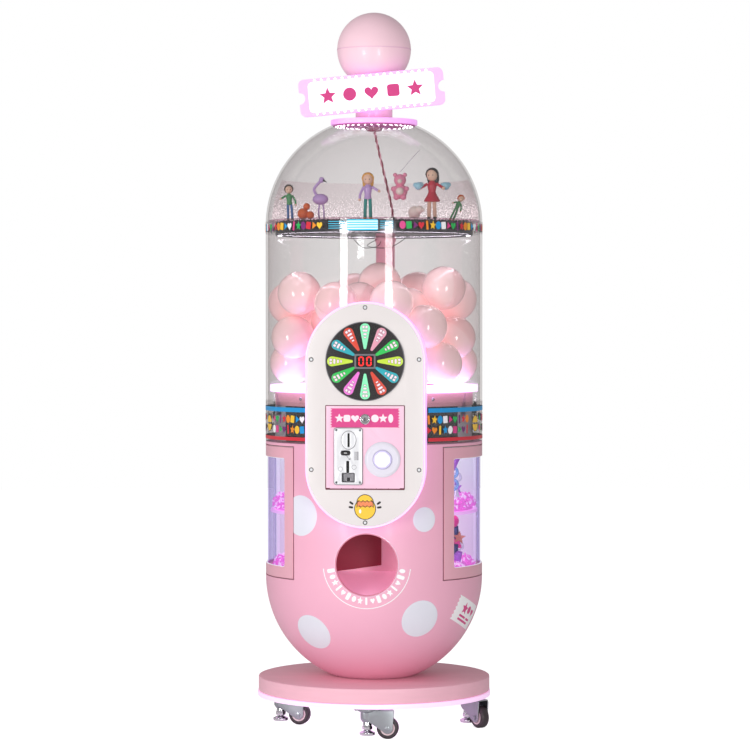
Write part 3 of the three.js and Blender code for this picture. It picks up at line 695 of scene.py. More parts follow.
def on_drum(shape, phi, z, radius, step=7.0):
    """Bends a flat shape round a drum: its x runs round, its y up and its thickness outwards."""
    sliced(shape, step)
    for v in shape.verts:
        angle = phi + math.degrees(v.co.x / radius)
        v.co = around(radius + v.co.z, angle, z + v.co.y)
    return shape


def on_bowl(shape, direction, lift, step=7.0):
    """Bends a flat shape onto the bowl, centred where direction leaves its centre."""
    sliced(shape, step, (0, 1))
    n = Vector(direction).normalized()
    right = Vector((-n.y, n.x, 0)).normalized()
    up = n.cross(right)
    for v in shape.verts:
        flat = right * v.co.x + up * v.co.y
        turn = flat.length / BODY_R
        ahead = flat.normalized() if turn else flat
        ray = n * math.cos(turn) + ahead * math.sin(turn)
        v.co = Vector((0, 0, BOWL_Z)) + ray * (BODY_R + lift + v.co.z)
    return shape


def screw_head(radius=3.6, height=2.2):
    """A button head with a hexagon socket, on its back at z = 0."""
    profile = [(0, height * 0.35), (radius * 0.45, height * 0.35), (radius * 0.5, height),
               (radius * 0.75, height * 0.85), (radius, height * 0.3), (radius, 0), (0, 0)]
    return turned(profile, 0.3, 2, 24)


def screws(places, radius=3.6, height=2.2, turn=FRONT):
    return join(*(at(screw_head(radius, height), *place, turn) for place in places))


# ---- Shapes that follow the cabinet ----------------------------------------------------------------


def cabinet_radius(z):
    """The cabinet's outside radius at a height: a drum that stands on a bowl."""
    return math.sqrt(BODY_R ** 2 - max(BOWL_Z - z, 0) ** 2)


def on_front(shape, x, z, lift, step=8.0):
    """Lays a flat shape on the cabinet's front, straight back along Y."""
    sliced(shape, step, (0, 1))
    for v in shape.verts:
        px, pz = x + v.co.x, z + v.co.y
        r = cabinet_radius(pz) + lift + v.co.z
        v.co = Vector((px, -math.sqrt(r * r - px * px), pz))
    return shape


def wall(start, end, inner, outer, low, high, corner=0.0, holes=(), bevel=0.0):
    """Part of a round wall between two angles; holes are in flat millimetres from its middle."""
    width = inner * math.radians(end - start)
    flat = plate(rectangle(width, high - low, corner), outer - inner, holes, bevel)
    return on_drum(flat, (start + end) / 2, (low + high) / 2, inner)


def ring(inner, outer, low, high, edge=0.8, sides=160):
    """A turned ring with eased edges."""
    corners = [(inner, low), (outer, low), (outer, high), (inner, high), (inner, low)]
    return turned(corners, edge, 4, sides)


def disc(radius, low, high, edge=0.8, sides=128):
    return turned([(0, low), (radius, low), (radius, high), (0, high)], edge, 4, sides)


def keep(node, material):
    """Shows a CAD node with a finish of this script."""
    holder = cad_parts[node]
    holder.data.materials.clear()
    holder.data.materials.append(material)
    holder.data.polygons.foreach_set("material_index", [0] * len(holder.data.polygons))


# ---- Base and casters --------------------------------------------------------------------------


def make_base():
    low, high = LIGHT_Z
    plate_r = extent("base_light_plate")[1].x
    piece("base_light_plate_edge", ring(2, plate_r, low, high, 1.2), LILAC_LIGHT,
          replaces=["base_light_plate"])
    low, high = DISC_Z
    disc_r = extent("base_disc")[1].x
    board = turned([(0, low), (disc_r, low), (disc_r, high), (0, high)], 3.0, 6, 200)
    piece("base_board", board, BOARD_PAINT, replaces=["base_disc"])
    # painted shade: a dark ring where the board meets the lit plate
    piece("base_seam", ring(250, disc_r - 3, low - 0.25, low, 0.1), GAP_SHADE)


def caster_outline(trail, wheel_z, roof):
    """Side view of a fork cheek, with the wheel's axle at (trail, wheel_z)."""
    nose = arc(trail, wheel_z, 12, -140, 10, 16)
    return [(-8, roof), (-8, 47), (34, 19)] + nose + [(60, roof - 6), (56, roof)]


def make_caster(place):
    """A caster: its plate on the cabinet, a fork that swivels, a wheel that rolls, and a foot."""
    centre = middle_of(f"caster_plate_{place}")
    arm = middle_of(f"caster_wheel_{place}") - centre
    trail, wheel_z = math.hypot(arm.x, arm.y), extent(f"caster_wheel_{place}")[0].z + 25
    base_z = extent(f"caster_plate_{place}")[0].z
    mount = Matrix.Translation((centre.x, centre.y, 0))
    turned_mount = mount @ Matrix.Rotation(math.atan2(arm.y, arm.x), 4, "Z")
    slab = plate(rectangle(61.6, 61.6, 7), 2.6, [circle(8, 24)], 0.4)
    bolts = [at(screw_head(5.5, 3.4), x, y, 0, turn_by(180, "X"))
             for x in (-23, 23) for y in (-23, 23)]
    flange = at(join(slab, *bolts), 0, 0, base_z)
    piece(f"caster_mount_{place}", moved(flange, mount), ZINC, replaces=[f"caster_plate_{place}"])
    fork = moved(caster_fork(trail, wheel_z, base_z), turned_mount)
    piece(f"caster_yoke_{place}", fork, ZINC, f"swivel_{place}", [f"caster_fork_{place}"])

    tread = turned(both_sides([(15, 10.6), (21.5, 10.6), (24.9, 7.5)]), 2.2, 4, 64)
    hub_half = [(4.4, 11), (8, 11), (8, 9), (12, 8), (13, 10.4), (16.4, 10.8)]
    hub = turned(both_sides(hub_half), 0.5, 2, 48)
    for label, shape, finish in (("tread", tread, TREAD), ("hub", hub, HUB)):
        at(shape, trail, 0, wheel_z, FRONT)
        gone = [f"caster_wheel_{place}"] if label == "tread" else []
        piece(f"caster_{label}_{place}", moved(shape, turned_mount), finish, f"wheel_{place}", gone)
    make_foot(place, mount)


def caster_fork(trail, wheel_z, base_z):
    """Swivel race, two cheeks, the bridge between them and the axle with its nuts."""
    roof = base_z - 3.4
    race = turned([(5.8, 37), (11, 37), (15.5, 44), (15.5, 60), (21, 62), (21, roof - 0.4),
                   (26, roof), (26, base_z - 0.6), (5.8, base_z - 0.6), (5.8, 37)], 1.0, 3, 40)
    cheek = caster_outline(trail, wheel_z, roof)
    cheeks = [at(plate(cheek, 2.8, bevel=0.5), 0, y, 0, FRONT) for y in (-12.1, 14.9)]
    bridge = block(6, 58, -13, 13, roof - 3, roof - 0.2, 0.6)
    bolt = [(0, 0), (5.6, 0), (5.6, 3), (3.9, 3), (3.9, 33), (5.6, 33), (5.6, 36), (0, 36)]
    axle = at(turned(bolt, 0.5, 2, 6), trail, 18, wheel_z, FRONT)
    return join(race, *cheeks, bridge, axle)


def both_sides(half):
    """A wheel's closed profile from its upper half, given from the bore outwards."""
    lower = [(r, -z) for r, z in half]
    return lower + half[::-1] + [lower[0]]


def make_foot(place, mount):
    """A levelling foot in its mount: pad, hexagon nut, collar and thread."""
    foot_low, foot_high = extent(f"levelling_foot_{place}")
    low = foot_low.z
    outline = [(0, low), (16.8, low), (17.8, low + 2), (17.8, low + 6), (11, low + 9.5),
               (6, low + 11.5), (4.9, low + 14), (4.9, foot_high.z), (0, foot_high.z)]
    pad = turned(outline, 0.8, 3, 48)
    nut = at(plate(circle(11.6, 6), 8, [circle(4.7, 20)], 0.7), 0, 0, low + 12.6)
    collar = turned([(4.7, 0), (10.4, 0), (9.2, 9), (4.7, 9), (4.7, 0)], 0.8, 3, 40)
    threads = [at(collar, 0, 0, low + 20.9)]
    threads += [at(ring(4.6, 5.05, 0, 0.8, 0.3, 24), 0, 0, low + 30.4 + 1.6 * i) for i in range(13)]
    piece(f"foot_{place}", moved(join(pad, nut, *threads), mount), CHROME, f"foot_{place}",
          [f"levelling_foot_{place}"])


# ---- Cabinet shell and doors -------------------------------------------------------------------


def door_sizes():
    """Angles and heights of the door openings, from the door leaves."""
    edge, gap = 0.4, 1
    low, high = extent("side_door_frame_right")
    front_phi = math.degrees(math.asin(min(v.co.x for v in side_front()) / BODY_R / MM))
    side = {"from": front_phi - edge, "to": 112.5, "low": low.z - gap, "high": high.z + gap}
    low, high = extent("rear_door")
    rear = {"from": 144, "to": 216, "low": low.z - gap, "high": high.z + gap}
    return side, rear


def side_front():
    """The corners of the right door leaf that lie on the outside, in front of the axis."""
    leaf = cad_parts["side_door_frame_right"].data.vertices
    return [v for v in leaf if v.co.y < 0 and math.hypot(v.co.x, v.co.y) > (BODY_R - 1) * MM]


SIDE, REAR = door_sizes()
PIN_R = BODY_R + 5.5
SIDE_HINGE, REAR_HINGE = 112.9, 143.6  # angles of the hinge pins


def spans(door, on_body):
    low, high = door["low"] + 30, door["high"] - 30
    if on_body:
        return [(low - 22, low), (high, high + 22)]
    return [(low + 0.3, low + 22), (high - 22, high - 0.3)]


def hinge_leaf(phi, towards, heights):
    """Knuckles with their straps; towards is the side of the pin that the straps lie on."""
    parts = []
    for low, high in heights:
        x, y, _ = around(PIN_R, phi)
        parts.append(at(ring(3.0, 4.9, low, high, 0.4, 28), x, y, 0))
        ends = sorted((phi + towards * 0.6, phi + towards * 4))
        parts.append(wall(*ends, BODY_R + 0.6, BODY_R + 2.6, low, high, 2, bevel=0.3))
        root = sorted((phi + towards * 1.0, phi + towards * 4))
        parts.append(wall(*root, BODY_R - 0.4, BODY_R + 0.7, low, high, 2))
        for z in (low + 6, high - 6):
            place = spun(BODY_R + 2.6, phi + towards * 2.6, z)
            parts.append(moved(screw_head(2.2, 0.5), place @ FRONT))
    return join(*parts)


def hinge_pin(name, phi, node):
    low, high = extent(node)
    x, y, _ = around(PIN_R, phi)
    piece(name, at(disc(2.45, low.z, high.z, 0.6, 20), x, y, 0), CHROME, replaces=[node])


def make_shell():
    """The cabinet's wall on its bowl, with its openings, and the fixed halves of the hinges."""
    low, top = SHELL_Z
    inner, deck = BODY_R - SHELL_WALL, top - SHELL_WALL

    def bowl(radius, start, end, steps=40):
        a0, a1 = (math.asin((z - BOWL_Z) / radius) for z in (start, end))
        turns = [a0 + (a1 - a0) * i / steps for i in range(steps + 1)]
        return [(radius * math.cos(a), BOWL_Z + radius * math.sin(a)) for a in turns]

    profile = [(0, low), *bowl(BODY_R, low, BOWL_Z), (BODY_R, top - 1), (BODY_R - 1, top),
               (200, top), (200, deck), (inner, deck), *bowl(inner, BOWL_Z, low + SHELL_WALL),
               (0, low + SHELL_WALL)]
    outlet = at(disc(OUTLET_R, 0, 80, 0, 96), 0, -BODY_R + 60, OUTLET_Z, FRONT)
    hatch = block(-88, 88, -BODY_R - 20, -185, HATCH_LOW.z - 0.6, top + 10)
    side = [wall(a, b, inner - 10, BODY_R + 20, SIDE["low"], SIDE["high"])
            for a, b in ((SIDE["from"], SIDE["to"]), (-SIDE["to"], -SIDE["from"]))]
    rear = wall(REAR["from"], REAR["to"], inner - 10, BODY_R + 20, REAR["low"], REAR["high"])
    inlet = block(-24.5, 24.5, BODY_R - 30, BODY_R + 20, 330, 358)
    shell = carve(lathe(profile, 216), outlet, hatch, *side, rear, inlet)
    piece("cabinet_shell", shell, PAINT, replaces=["lower_shell"], sharp=28)

    hinges = (("right", SIDE_HINGE, SIDE, 1, "side_hinge_pin_right"),
              ("left", -SIDE_HINGE, SIDE, -1, "side_hinge_pin_left"),
              ("rear", REAR_HINGE, REAR, -1, "rear_hinge_pin"))
    for label, phi, door, towards, _ in hinges:
        piece(f"hinge_fixed_{label}", hinge_leaf(phi, towards, spans(door, True)), ZINC)
    for label, phi, _, _, pin in hinges:
        hinge_pin(f"hinge_pin_{label}", phi, pin)


def door_gasket(start, end, low, high):
    """A thin lining inside a door opening."""
    width = (BODY_R - 9) * math.radians(end - start)
    window = rectangle(width - 4, high - low - 4)
    return wall(start, end, BODY_R - 9, BODY_R - 4.4, low, high, holes=[window])


def door_shadow():
    """A painted shadow: a dark line round three sides of a side door, on the shell, for the shade of
    the gap.
    """
    low, high, start, end = SIDE["low"], SIDE["high"], SIDE["from"], SIDE["to"]
    skin = (BODY_R + 0.05, BODY_R + 0.2)
    above = wall(start - 0.3, end - 2, *skin, high + 0.05, high + 1.5)
    below = wall(start - 0.3, end - 2, *skin, low - 1.0, low)
    return join(above, below, wall(start - 0.35, start - 0.03, *skin, low - 1.0, high + 1.5))


def make_side_doors():
    """Both side doors: leaf, glass, the bead round the window and a lining beside it; the bead and the
    lining glow as painted light.
    """
    inner = BODY_R - SHELL_WALL
    middle, edge = (SIDE["from"] + SIDE["to"]) / 2, 0.5
    low, high = SIDE["low"] + 1.2, SIDE["high"] - 1.2
    for place, sign in (("right", 1), ("left", -1)):
        body = f"side_door_{place}"
        start, end = SIDE["from"] + 7.7, SIDE["to"] - 7.5
        width = inner * math.radians(end - start)
        shift = inner * math.radians((start + end) / 2 - middle)
        window = rectangle(width, high - low - 49.6, 5, shift, 0)
        leaf = wall(SIDE["from"] + edge, SIDE["to"] - edge, inner, BODY_R, low, high, 1, [window], 0.6)
        frame_shape = join(leaf, hinge_leaf(SIDE_HINGE, -1, spans(SIDE, False)))
        piece(f"door_frame_{place}", mirrored(frame_shape, sign), DOOR_PAINT, body,
              [f"side_door_frame_{place}"])
        glass = wall(SIDE["from"] + 6, SIDE["to"] - 6, inner - 3.3, inner - 0.3, low + 20,
                     high - 20, 3, bevel=0.3)
        piece(f"door_glass_{place}", mirrored(glass, sign), WINDOW, body,
              [f"side_door_glass_{place}"])
        bead = wall(start - 0.25, end + 0.25, inner - 0.2, BODY_R - 0.5, low + 24.2, high - 24.2, 5.5,
                    [rectangle(width - 1, high - low - 51, 5)], 0.2)
        seat = wall(end + 0.3, end + 2.4, inner - 0.28, inner - 0.05, low + 24, high - 24)
        piece(f"door_bead_{place}", mirrored(join(bead, seat), sign), STILE_LINING, body)
        lining = wall(end + 0.2, SIDE["to"] - 0.8, inner - 4.7, inner - 3.6, low + 16, high - 16,
                      1)
        piece(f"door_lining_{place}", mirrored(lining, sign), STILE_LINING, body)


def make_rear_door():
    inner = BODY_R - SHELL_WALL
    low, high = REAR["low"] + 1.2, REAR["high"] - 1.2
    slots = [rectangle(60, 4, 1.9, 0, 92 - 9 * i) for i in range(7)]
    leaf = wall(REAR["from"] + 0.5, REAR["to"] - 0.5, inner, BODY_R, low, high, 2, slots, 0.6)
    shape = join(leaf, hinge_leaf(REAR_HINGE, 1, spans(REAR, False)))
    piece("rear_door_leaf", shape, PAINT, "rear_door", ["rear_door"])
    # painted shade: a dark sheet behind the vent slots
    backing = wall(162, 198, inner - 1.2, inner - 0.4, high - 112, high - 20)
    piece("rear_vent_shade_sheet", backing, DARK_GLASS_AND_SHADE, "rear_door")
    lock_phi, lock_z = REAR["to"] - 6, (low + high) / 2
    lock = join(disc(10, 0, 1.5, 0.6, 40), disc(6.5, 1.5, 3.4, 0.5, 32))
    piece("rear_lock", on_drum(lock, lock_phi, lock_z, BODY_R), CHROME, "rear_door")
    # painted shade in the lock's keyway
    slit = on_drum(plate(rectangle(1.4, 8, 0.6), 0.2), lock_phi, lock_z, BODY_R + 3.4)
    piece("rear_lock_slit", slit, DARK_GLASS_AND_SHADE, "rear_door")
    label = on_drum(plate(rectangle(70, 34, 3), 0.3), 180, low + 40, BODY_R)
    piece("rear_rating_plate", label, WHITE, "rear_door")
    bars = [at(plate(rectangle(w, 1.6), 0.12), x, y, 0) for w, x, y in
            ((40, -10, 10), (52, -4, 5), (30, -15, 0), (46, -7, -5), (22, -19, -10))]
    ink = on_drum(join(*bars), 180, low + 40, BODY_R + 0.3)
    piece("rear_rating_bars", ink, GREY, "rear_door")


def make_inlet():
    low, high = extent("power_inlet")
    face_y, mid = high.y, (low.z + high.z) / 2
    back = turn_by(180) @ FRONT
    flange = plate(rectangle(high.x - low.x, high.z - low.z, 5), 2.6, [rectangle(24.4, 16.4, 2)], 0.5)
    shell = plate(rectangle(46, 25.6, 2), 27, [rectangle(24, 16, 2)])
    at(flange, 0, face_y - 2.6, mid, back)
    at(shell, 0, face_y - 29.7, mid, back)
    piece("inlet_housing", join(flange, shell), BLACK, replaces=["power_inlet"])
    pins = [at(block(-1, 1, -2, 2, 0, 13, 0.4), x, face_y - 18, mid, back) for x in (-7, 0, 7)]
    piece("inlet_pins", join(*pins), CHROME)
    piece("inlet_screws", screws([(x, face_y, mid) for x in (-24, 24)], 2.8, 1.2, back), CHROME)


# ---- Display boxes -----------------------------------------------------------------------------


ALCOVE_PHI = 77.5  # the middle of the right display box
HEAP_RISE = 34
CHIPS = 430  # on each level of a box


def alcove(x, y, z, sign):
    """A point in a display box: x runs round it, y outwards from the axis."""
    turn = math.radians(ALCOVE_PHI)
    out = Vector((math.sin(turn), -math.cos(turn), 0))
    round_ = Vector((math.cos(turn), math.sin(turn), 0))
    spot = out * y + round_ * x
    return Vector((spot.x * sign, spot.y, z))


def foam_chip(size):
    """A pinched foam chip, like a fat bent peanut."""
    bend = [(-size * 0.5, 0, 0), (-size * 0.2, size * 0.12, 0), (size * 0.2, size * 0.12, 0),
            (size * 0.5, 0, 0)]
    return tube(bend, [size * 0.12, size * 0.26, size * 0.2, size * 0.14], 7)


def heap_height(x, share, half):
    """How high the heap of chips is. x runs round the box; share is 0 at its back, 1 at its glass."""
    rise = min(1, (1 - abs(x) / half) * 5, share * 4, (1 - share) * 8)
    waves = 0.78 + 0.14 * math.sin(x * 0.055 + 1) + 0.08 * math.sin(x * 0.16 + share * 5)
    return HEAP_RISE * math.sqrt(max(rise, 0)) * waves


def heap(half, back, glass):
    """The body of a heap of chips: a bumpy mound on a flat base."""
    mound = bmesh.new()
    bmesh.ops.create_grid(mound, x_segments=72, y_segments=24, size=0.5)
    base = mound.copy()
    for shape, lift in ((mound, 1), (base, 0)):
        for v in shape.verts:
            x, share = v.co.x * 2 * half, v.co.y + 0.5
            y = back + share * (math.sqrt(glass ** 2 - x * x) - back)
            bumps = 2.4 * math.sin(x * 0.9) * math.cos(y * 0.8) * min(1, (1 - abs(x) / half) * 5)
            v.co = Vector((x, -y, lift * max(heap_height(x, share, half) + bumps - 3, 0.4)))
    bmesh.ops.reverse_faces(mound, faces=mound.faces)
    return join(mound, base)


def make_display(place, sign):
    """A display box: lining, shelf, lamp, and a heap of foam chips on each level; lining and chips glow
    as painted light beside the lamp.
    """
    keep(f"display_box_{place}", BOX_LINING)
    low, high = extent(f"display_shelf_{place}")
    floor_z = extent(f"display_box_{place}")[0].z + 3
    turn = turn_by(ALCOVE_PHI * sign)
    depth_out, depth_in, half = BODY_R - 11, 134, 128
    edge = [(x, -math.sqrt(depth_out ** 2 - x * x)) for x in range(-half, half + 1, 8)]
    outline = edge + [(half, -depth_in), (-half, -depth_in)]
    shelf = at(plate(outline, high.z - low.z, bevel=0.5), 0, 0, low.z, turn)
    piece(f"shelf_{place}", shelf, SHELF_LIGHT, replaces=[f"display_shelf_{place}"])
    box_low, box_high = extent(f"display_box_{place}")
    jamb = wall(110.8, 119, 238.2, 240.2, box_low.z, box_high.z, 1)
    piece(f"display_jamb_{place}", mirrored(jamb, sign), BOX_LINING)
    strip = block(-110, 110, -140, -135, 636, 641, 1)
    piece(f"display_lamp_{place}", moved(strip, turn), LILAC_LAMP)

    side, glass = half - 6, depth_out - 5
    mounds, chips = [], {"pink": [], "white": []}
    for level in (high.z + 0.2, floor_z + 0.2):
        mounds.append(at(heap(side, depth_in + 3, glass - 6), 0, 0, level, turn))
        for _ in range(CHIPS):
            chip = scattered_chip(side, depth_in + 3, glass, level, sign)
            chips["pink" if random.random() < 0.62 else "white"].append(chip)
    piece(f"chip_mounds_{place}", join(*mounds), CHIP_MOUND, sharp=80)
    piece(f"chips_pink_{place}", join(*chips["pink"]), CHIP_PINK, sharp=80)
    piece(f"chips_white_{place}", join(*chips["white"]), CHIP_WHITE, sharp=80)


def make_opening(place, sign):
    """The lining of a side door's opening, which glows as painted light, and the painted shadow round
    it.
    """
    low, high = SIDE["low"] + 4, SIDE["high"] - 4
    lining = door_gasket(SIDE["from"] + 0.2, SIDE["to"] - 0.2, low, high)
    piece(f"door_gasket_{place}", mirrored(lining, sign), BOX_LINING)
    piece(f"door_shadow_{place}", mirrored(door_shadow(), sign), GAP_SHADE)


def scattered_chip(side, back, glass, level, sign):
    """A chip at a random spot of a heap, more often towards its glass."""
    x = random.uniform(8 - side, side - 8)
    share = 0.99 - 0.9 * random.random() ** 1.6
    y = back + share * (math.sqrt(glass ** 2 - x * x) - back)
    spin = random_turn()
    z = level + max(heap_height(x, share, side), 3) + random.uniform(-0.5, 4)
    chip = foam_chip(random.uniform(7, 11))
    return moved(chip, Matrix.Translation(alcove(x, y, z, sign)) @ spin)


def pouch(width, height, puff):
    """A puffed foil bag with crimped ends."""
    bag = bmesh.new()
    bmesh.ops.create_grid(bag, x_segments=14, y_segments=18, size=0.5)
    bottom = bag.copy()
    for shape, side in ((bag, 1), (bottom, -1)):
        for v in shape.verts:
            u, w = v.co.x * 2, v.co.y * 2
            swell = max(1 - u ** 4, 0) ** 0.5 * max(1 - w ** 4, 0) ** 0.7
            depth = 0.5 + 0.12 * math.sin(9 * u + 5 * w) * math.cos(11 * w - 3 * u)
            v.co = Vector((u * width / 2 * (1 - 0.08 * swell), w * height / 2,
                           side * puff * swell * depth))
    bmesh.ops.reverse_faces(bottom, faces=bottom.faces)
    return join(bag, bottom)


def curl(radius, wire):
    """A loop of soft tube."""
    loop = [(*polar(radius, 30 * i), 2.2 * math.sin(i)) for i in range(13)]
    return tube(loop, wire, 10)


def make_goods():
    """Plain toys piled up just behind the front edge of the right display window."""
    goods = (
        ("sack_top", "violet", pouch(34, 46, 14), 184, 622),
        ("curl_1", "sky", curl(13, 3.4), 183, 590),
        ("curl_2", "frost", curl(10, 3.2), 193, 578),
        ("curl_3", "sky", curl(12, 3.6), 185, 562),
        ("sack_mid", "frost", pouch(36, 34, 12), 181, 541),
        ("star_mid", "violet", plate(star(15, 7), 7, bevel=1.5), 193, 553),
        ("ball_low", "rose", ball(15, 24), 185, 479),
        ("sack_navy", "navy", pouch(34, 30, 12), 182, 452),
        ("sack_rose", "rose", pouch(26, 34, 12), 191, 433),
        ("sack_low", "navy", pouch(34, 30, 14), 181, 412),
        ("star_low", "copper", plate(star(16, 7), 7, bevel=1.5), 200, 441),
        ("curl_low", "frost", curl(9, 3), 199, 420),
        ("sack_floor", "violet", pouch(26, 24, 12), 193, 400),
    )
    for i, (name, colour, shape, x, z) in enumerate(goods):
        spin = turn_by((i * 47) % 50 - 25)
        at(shape, x, -84 + (i % 3) * 9, z, FRONT @ spin)
        piece(f"goods_{name}", shape, PACKS[colour], sharp=60)


# ---- Prize outlet and decals of the cabinet ----------------------------------------------------


def make_outlet():
    """The prize outlet: sleeve, rim, chute and an arc of marks; and the plain parts inside."""
    for node, finish in (("outlet_chute", CHUTE_PINK), ("drop_duct", PALE_PINK), ("cash_box", ZINC),
                         ("dispenser_floor", ZINC), ("gear_motor", ZINC), ("pocket_wheel", PALE_PINK)):
        keep(node, finish)
    sleeve = plate(circle(OUTLET_R - 0.3, 96), BODY_R - 239.2, [circle(OUTLET_R - 2.2, 96)], 0.3)
    piece("outlet_sleeve", on_front(sleeve, 0, OUTLET_Z, 239 - BODY_R), CHUTE_PINK)
    rim = plate(circle(OUTLET_R + 2.2, 96), 0.7, [circle(OUTLET_R + 0.2, 96)], 0.25)
    piece("outlet_rim", on_front(rim, 0, OUTLET_Z, 0), HATCH_PAINT)
    make_chute()
    outlines = (rectangle(8.5, 12.5, 2.4), circle(4.8, 24), star(6.6, 3.2), rectangle(4.6, 12.5, 2),
                heart(10.5))
    marks = []
    for i in range(17):
        angle = 190 + 10 * i
        shape = moved(plate(outlines[i % 5], 0.25), Matrix.Diagonal((1, 1.4, 1, 1)))
        at(shape, *polar(81, angle), 0, turn_by(angle + 90))
        marks.append(shape)
    piece("outlet_marks", on_front(join(*marks), 0, OUTLET_Z, 0), PRINT_WHITE)
    band = arc(0, 0, 98.8, 186, 354, 60) + arc(0, 0, 97, 354, 186, 60)
    piece("outlet_arc", on_front(plate(band, 0.25), 0, OUTLET_Z, 0), PRINT_WHITE)


def make_chute():
    """The linings of the chute: its back, with a dark slanted sheet over it that paints the shade on
    the back wall, and its ramp; the back and the ramp glow as painted light.
    """
    low, high = extent("outlet_chute")
    skin, lip, rise = 3.4, low.z + 6.5, 41
    side, roof, back, heel = high.x - skin, high.z - skin, high.y - skin, lip + rise
    liner = plate([(-side, heel), (side, heel), (side, roof), (-side, roof)], 1, bevel=0.3)
    piece("chute_liner", at(liner, 0, back - 1, 0, FRONT), LINER_PINK)
    # painted shadow: a dark sheet with a slanted lower edge, for the shade on the chute's back wall
    shadow_sheet = plate([(-side, heel - 0.4), (19, heel + 15), (19, roof), (-side, roof)], 2, bevel=0.4)
    piece("chute_shadow_sheet", at(shadow_sheet, 0, back - 4.6, 0, FRONT), CHUTE_SHADOW_RED)
    edge = [(x, -math.sqrt((BODY_R - 14) ** 2 - x * x)) for x in range(-84, 85, 6)]
    slope = rise / (BODY_R + 9 + back)
    lean = Matrix.Identity(4)
    lean[2][1], lean[2][3] = slope, lip + slope * (BODY_R + 9) + 0.4
    ramp = plate(edge + [(84, back - 2), (-84, back - 2)], 0.8, bevel=0.2)
    piece("chute_ramp", moved(ramp, lean), RAMP_PINK)


def bowl_direction(phi, latitude):
    up = math.radians(latitude)
    return around(math.cos(up), phi, math.sin(up))


def make_decals():
    """Dots and a ticket on the shell, and the icon on the panel."""
    dot = cut_open(plate(circle(45.7, 72), 0.3, bevel=0.1), (-22.4, 0, 0), (-1, 0, 0))
    piece("dot_left", on_drum(dot, -37.2, 498, BODY_R), DOT_WHITE)
    piece("dot_right", on_drum(plate(circle(27.8, 64), 0.3, bevel=0.1), 30.7, 491.6, BODY_R), DOT_WHITE)
    for name, phi, latitude in (("dot_low_left", -34.3, -27.7), ("dot_low_right", 30.0, -19.1)):
        dot = plate(circle(44.7, 72), 0.3, bevel=0.1)
        piece(name, on_bowl(dot, bowl_direction(phi, latitude), 0), DOT_WHITE)
    tilt = turn_by(-20)
    where = bowl_direction(66.3, -18.6)
    paper = at(plate(ticket(116, 60, 6, 4.5, left_only=True), 0.3, bevel=0.1), 0, 0, 0, tilt)
    piece("ticket_paper", on_bowl(paper, where, 0), PRINT_WHITE)
    marks = [at(plate(star(15, 7), 0.15), -17, 8, 0), at(plate(circle(9, 24), 0.15), 7, 10, 0),
             at(plate(heart(20), 0.15), 30, 9, 0)]
    marks += [at(plate(rectangle(width, 5, 2), 0.15), x, y, 0) for width, x, y in
              ((34, -14, -11), (22, 20, -11), (58, -2, -20))]
    ink = at(join(*marks), 0, 0, 0, tilt)
    piece("ticket_ink", on_bowl(ink, where, 0.3), HOT_PINK)
    make_icon(0, 523)


def make_icon(x, z):
    """A yellow capsule in two halves, popping open, with short black rays at its sides."""

    def teeth(y, reach, count=9, bite=3.4):
        step = 2 * reach / (count - 1)
        return [(-reach + step * i, y + (bite / 2 if i % 2 else -bite / 2)) for i in range(count)]

    bowl, lid = (22.4, -3.4), (17.6, 9.6)
    border = [plate(circle(radius + 1.7, 64, 0, y), 0.12) for radius, y in (bowl, lid)]
    halves = [plate(circle(radius, 64, 0, y), thickness)
              for (radius, y), thickness in ((bowl, 0.22), (lid, 0.26))]
    split = teeth(12.4, 16.8) + teeth(2.6, 17.6)[::-1]
    edge = teeth(14.2, 18.2) + teeth(0.8, 19.2)[::-1]
    layers = (("border", [*border, plate(edge, 0.3)], BLACK), ("halves", halves, YELLOW),
              ("split", [plate(split, 0.36)], AMBER))
    for label, shapes, finish in layers:
        piece(f"icon_{label}", shape_on_panel(join(*shapes), x, z), finish)
    shine = plate(ellipse(5, 9, 24, -11, -9), 0.3)
    piece("icon_shine", shape_on_panel(shine, x, z), PRINT_WHITE)
    rays = []
    for side in (-1, 1):
        for px, py, degrees in ((30.5, 9.5, 35), (31.5, 0, 8)):
            turn = turn_by(side * degrees)
            rays.append(at(plate(rectangle(10, 4.6, 2), 0.2), side * px, py, 0, turn))
    piece("icon_rays", shape_on_panel(join(*rays), x, z), BLACK)


def shape_on_panel(shape, x, z):
    return at(shape, x, FACE_Y, z, FRONT)


# ---- Control panel -----------------------------------------------------------------------------


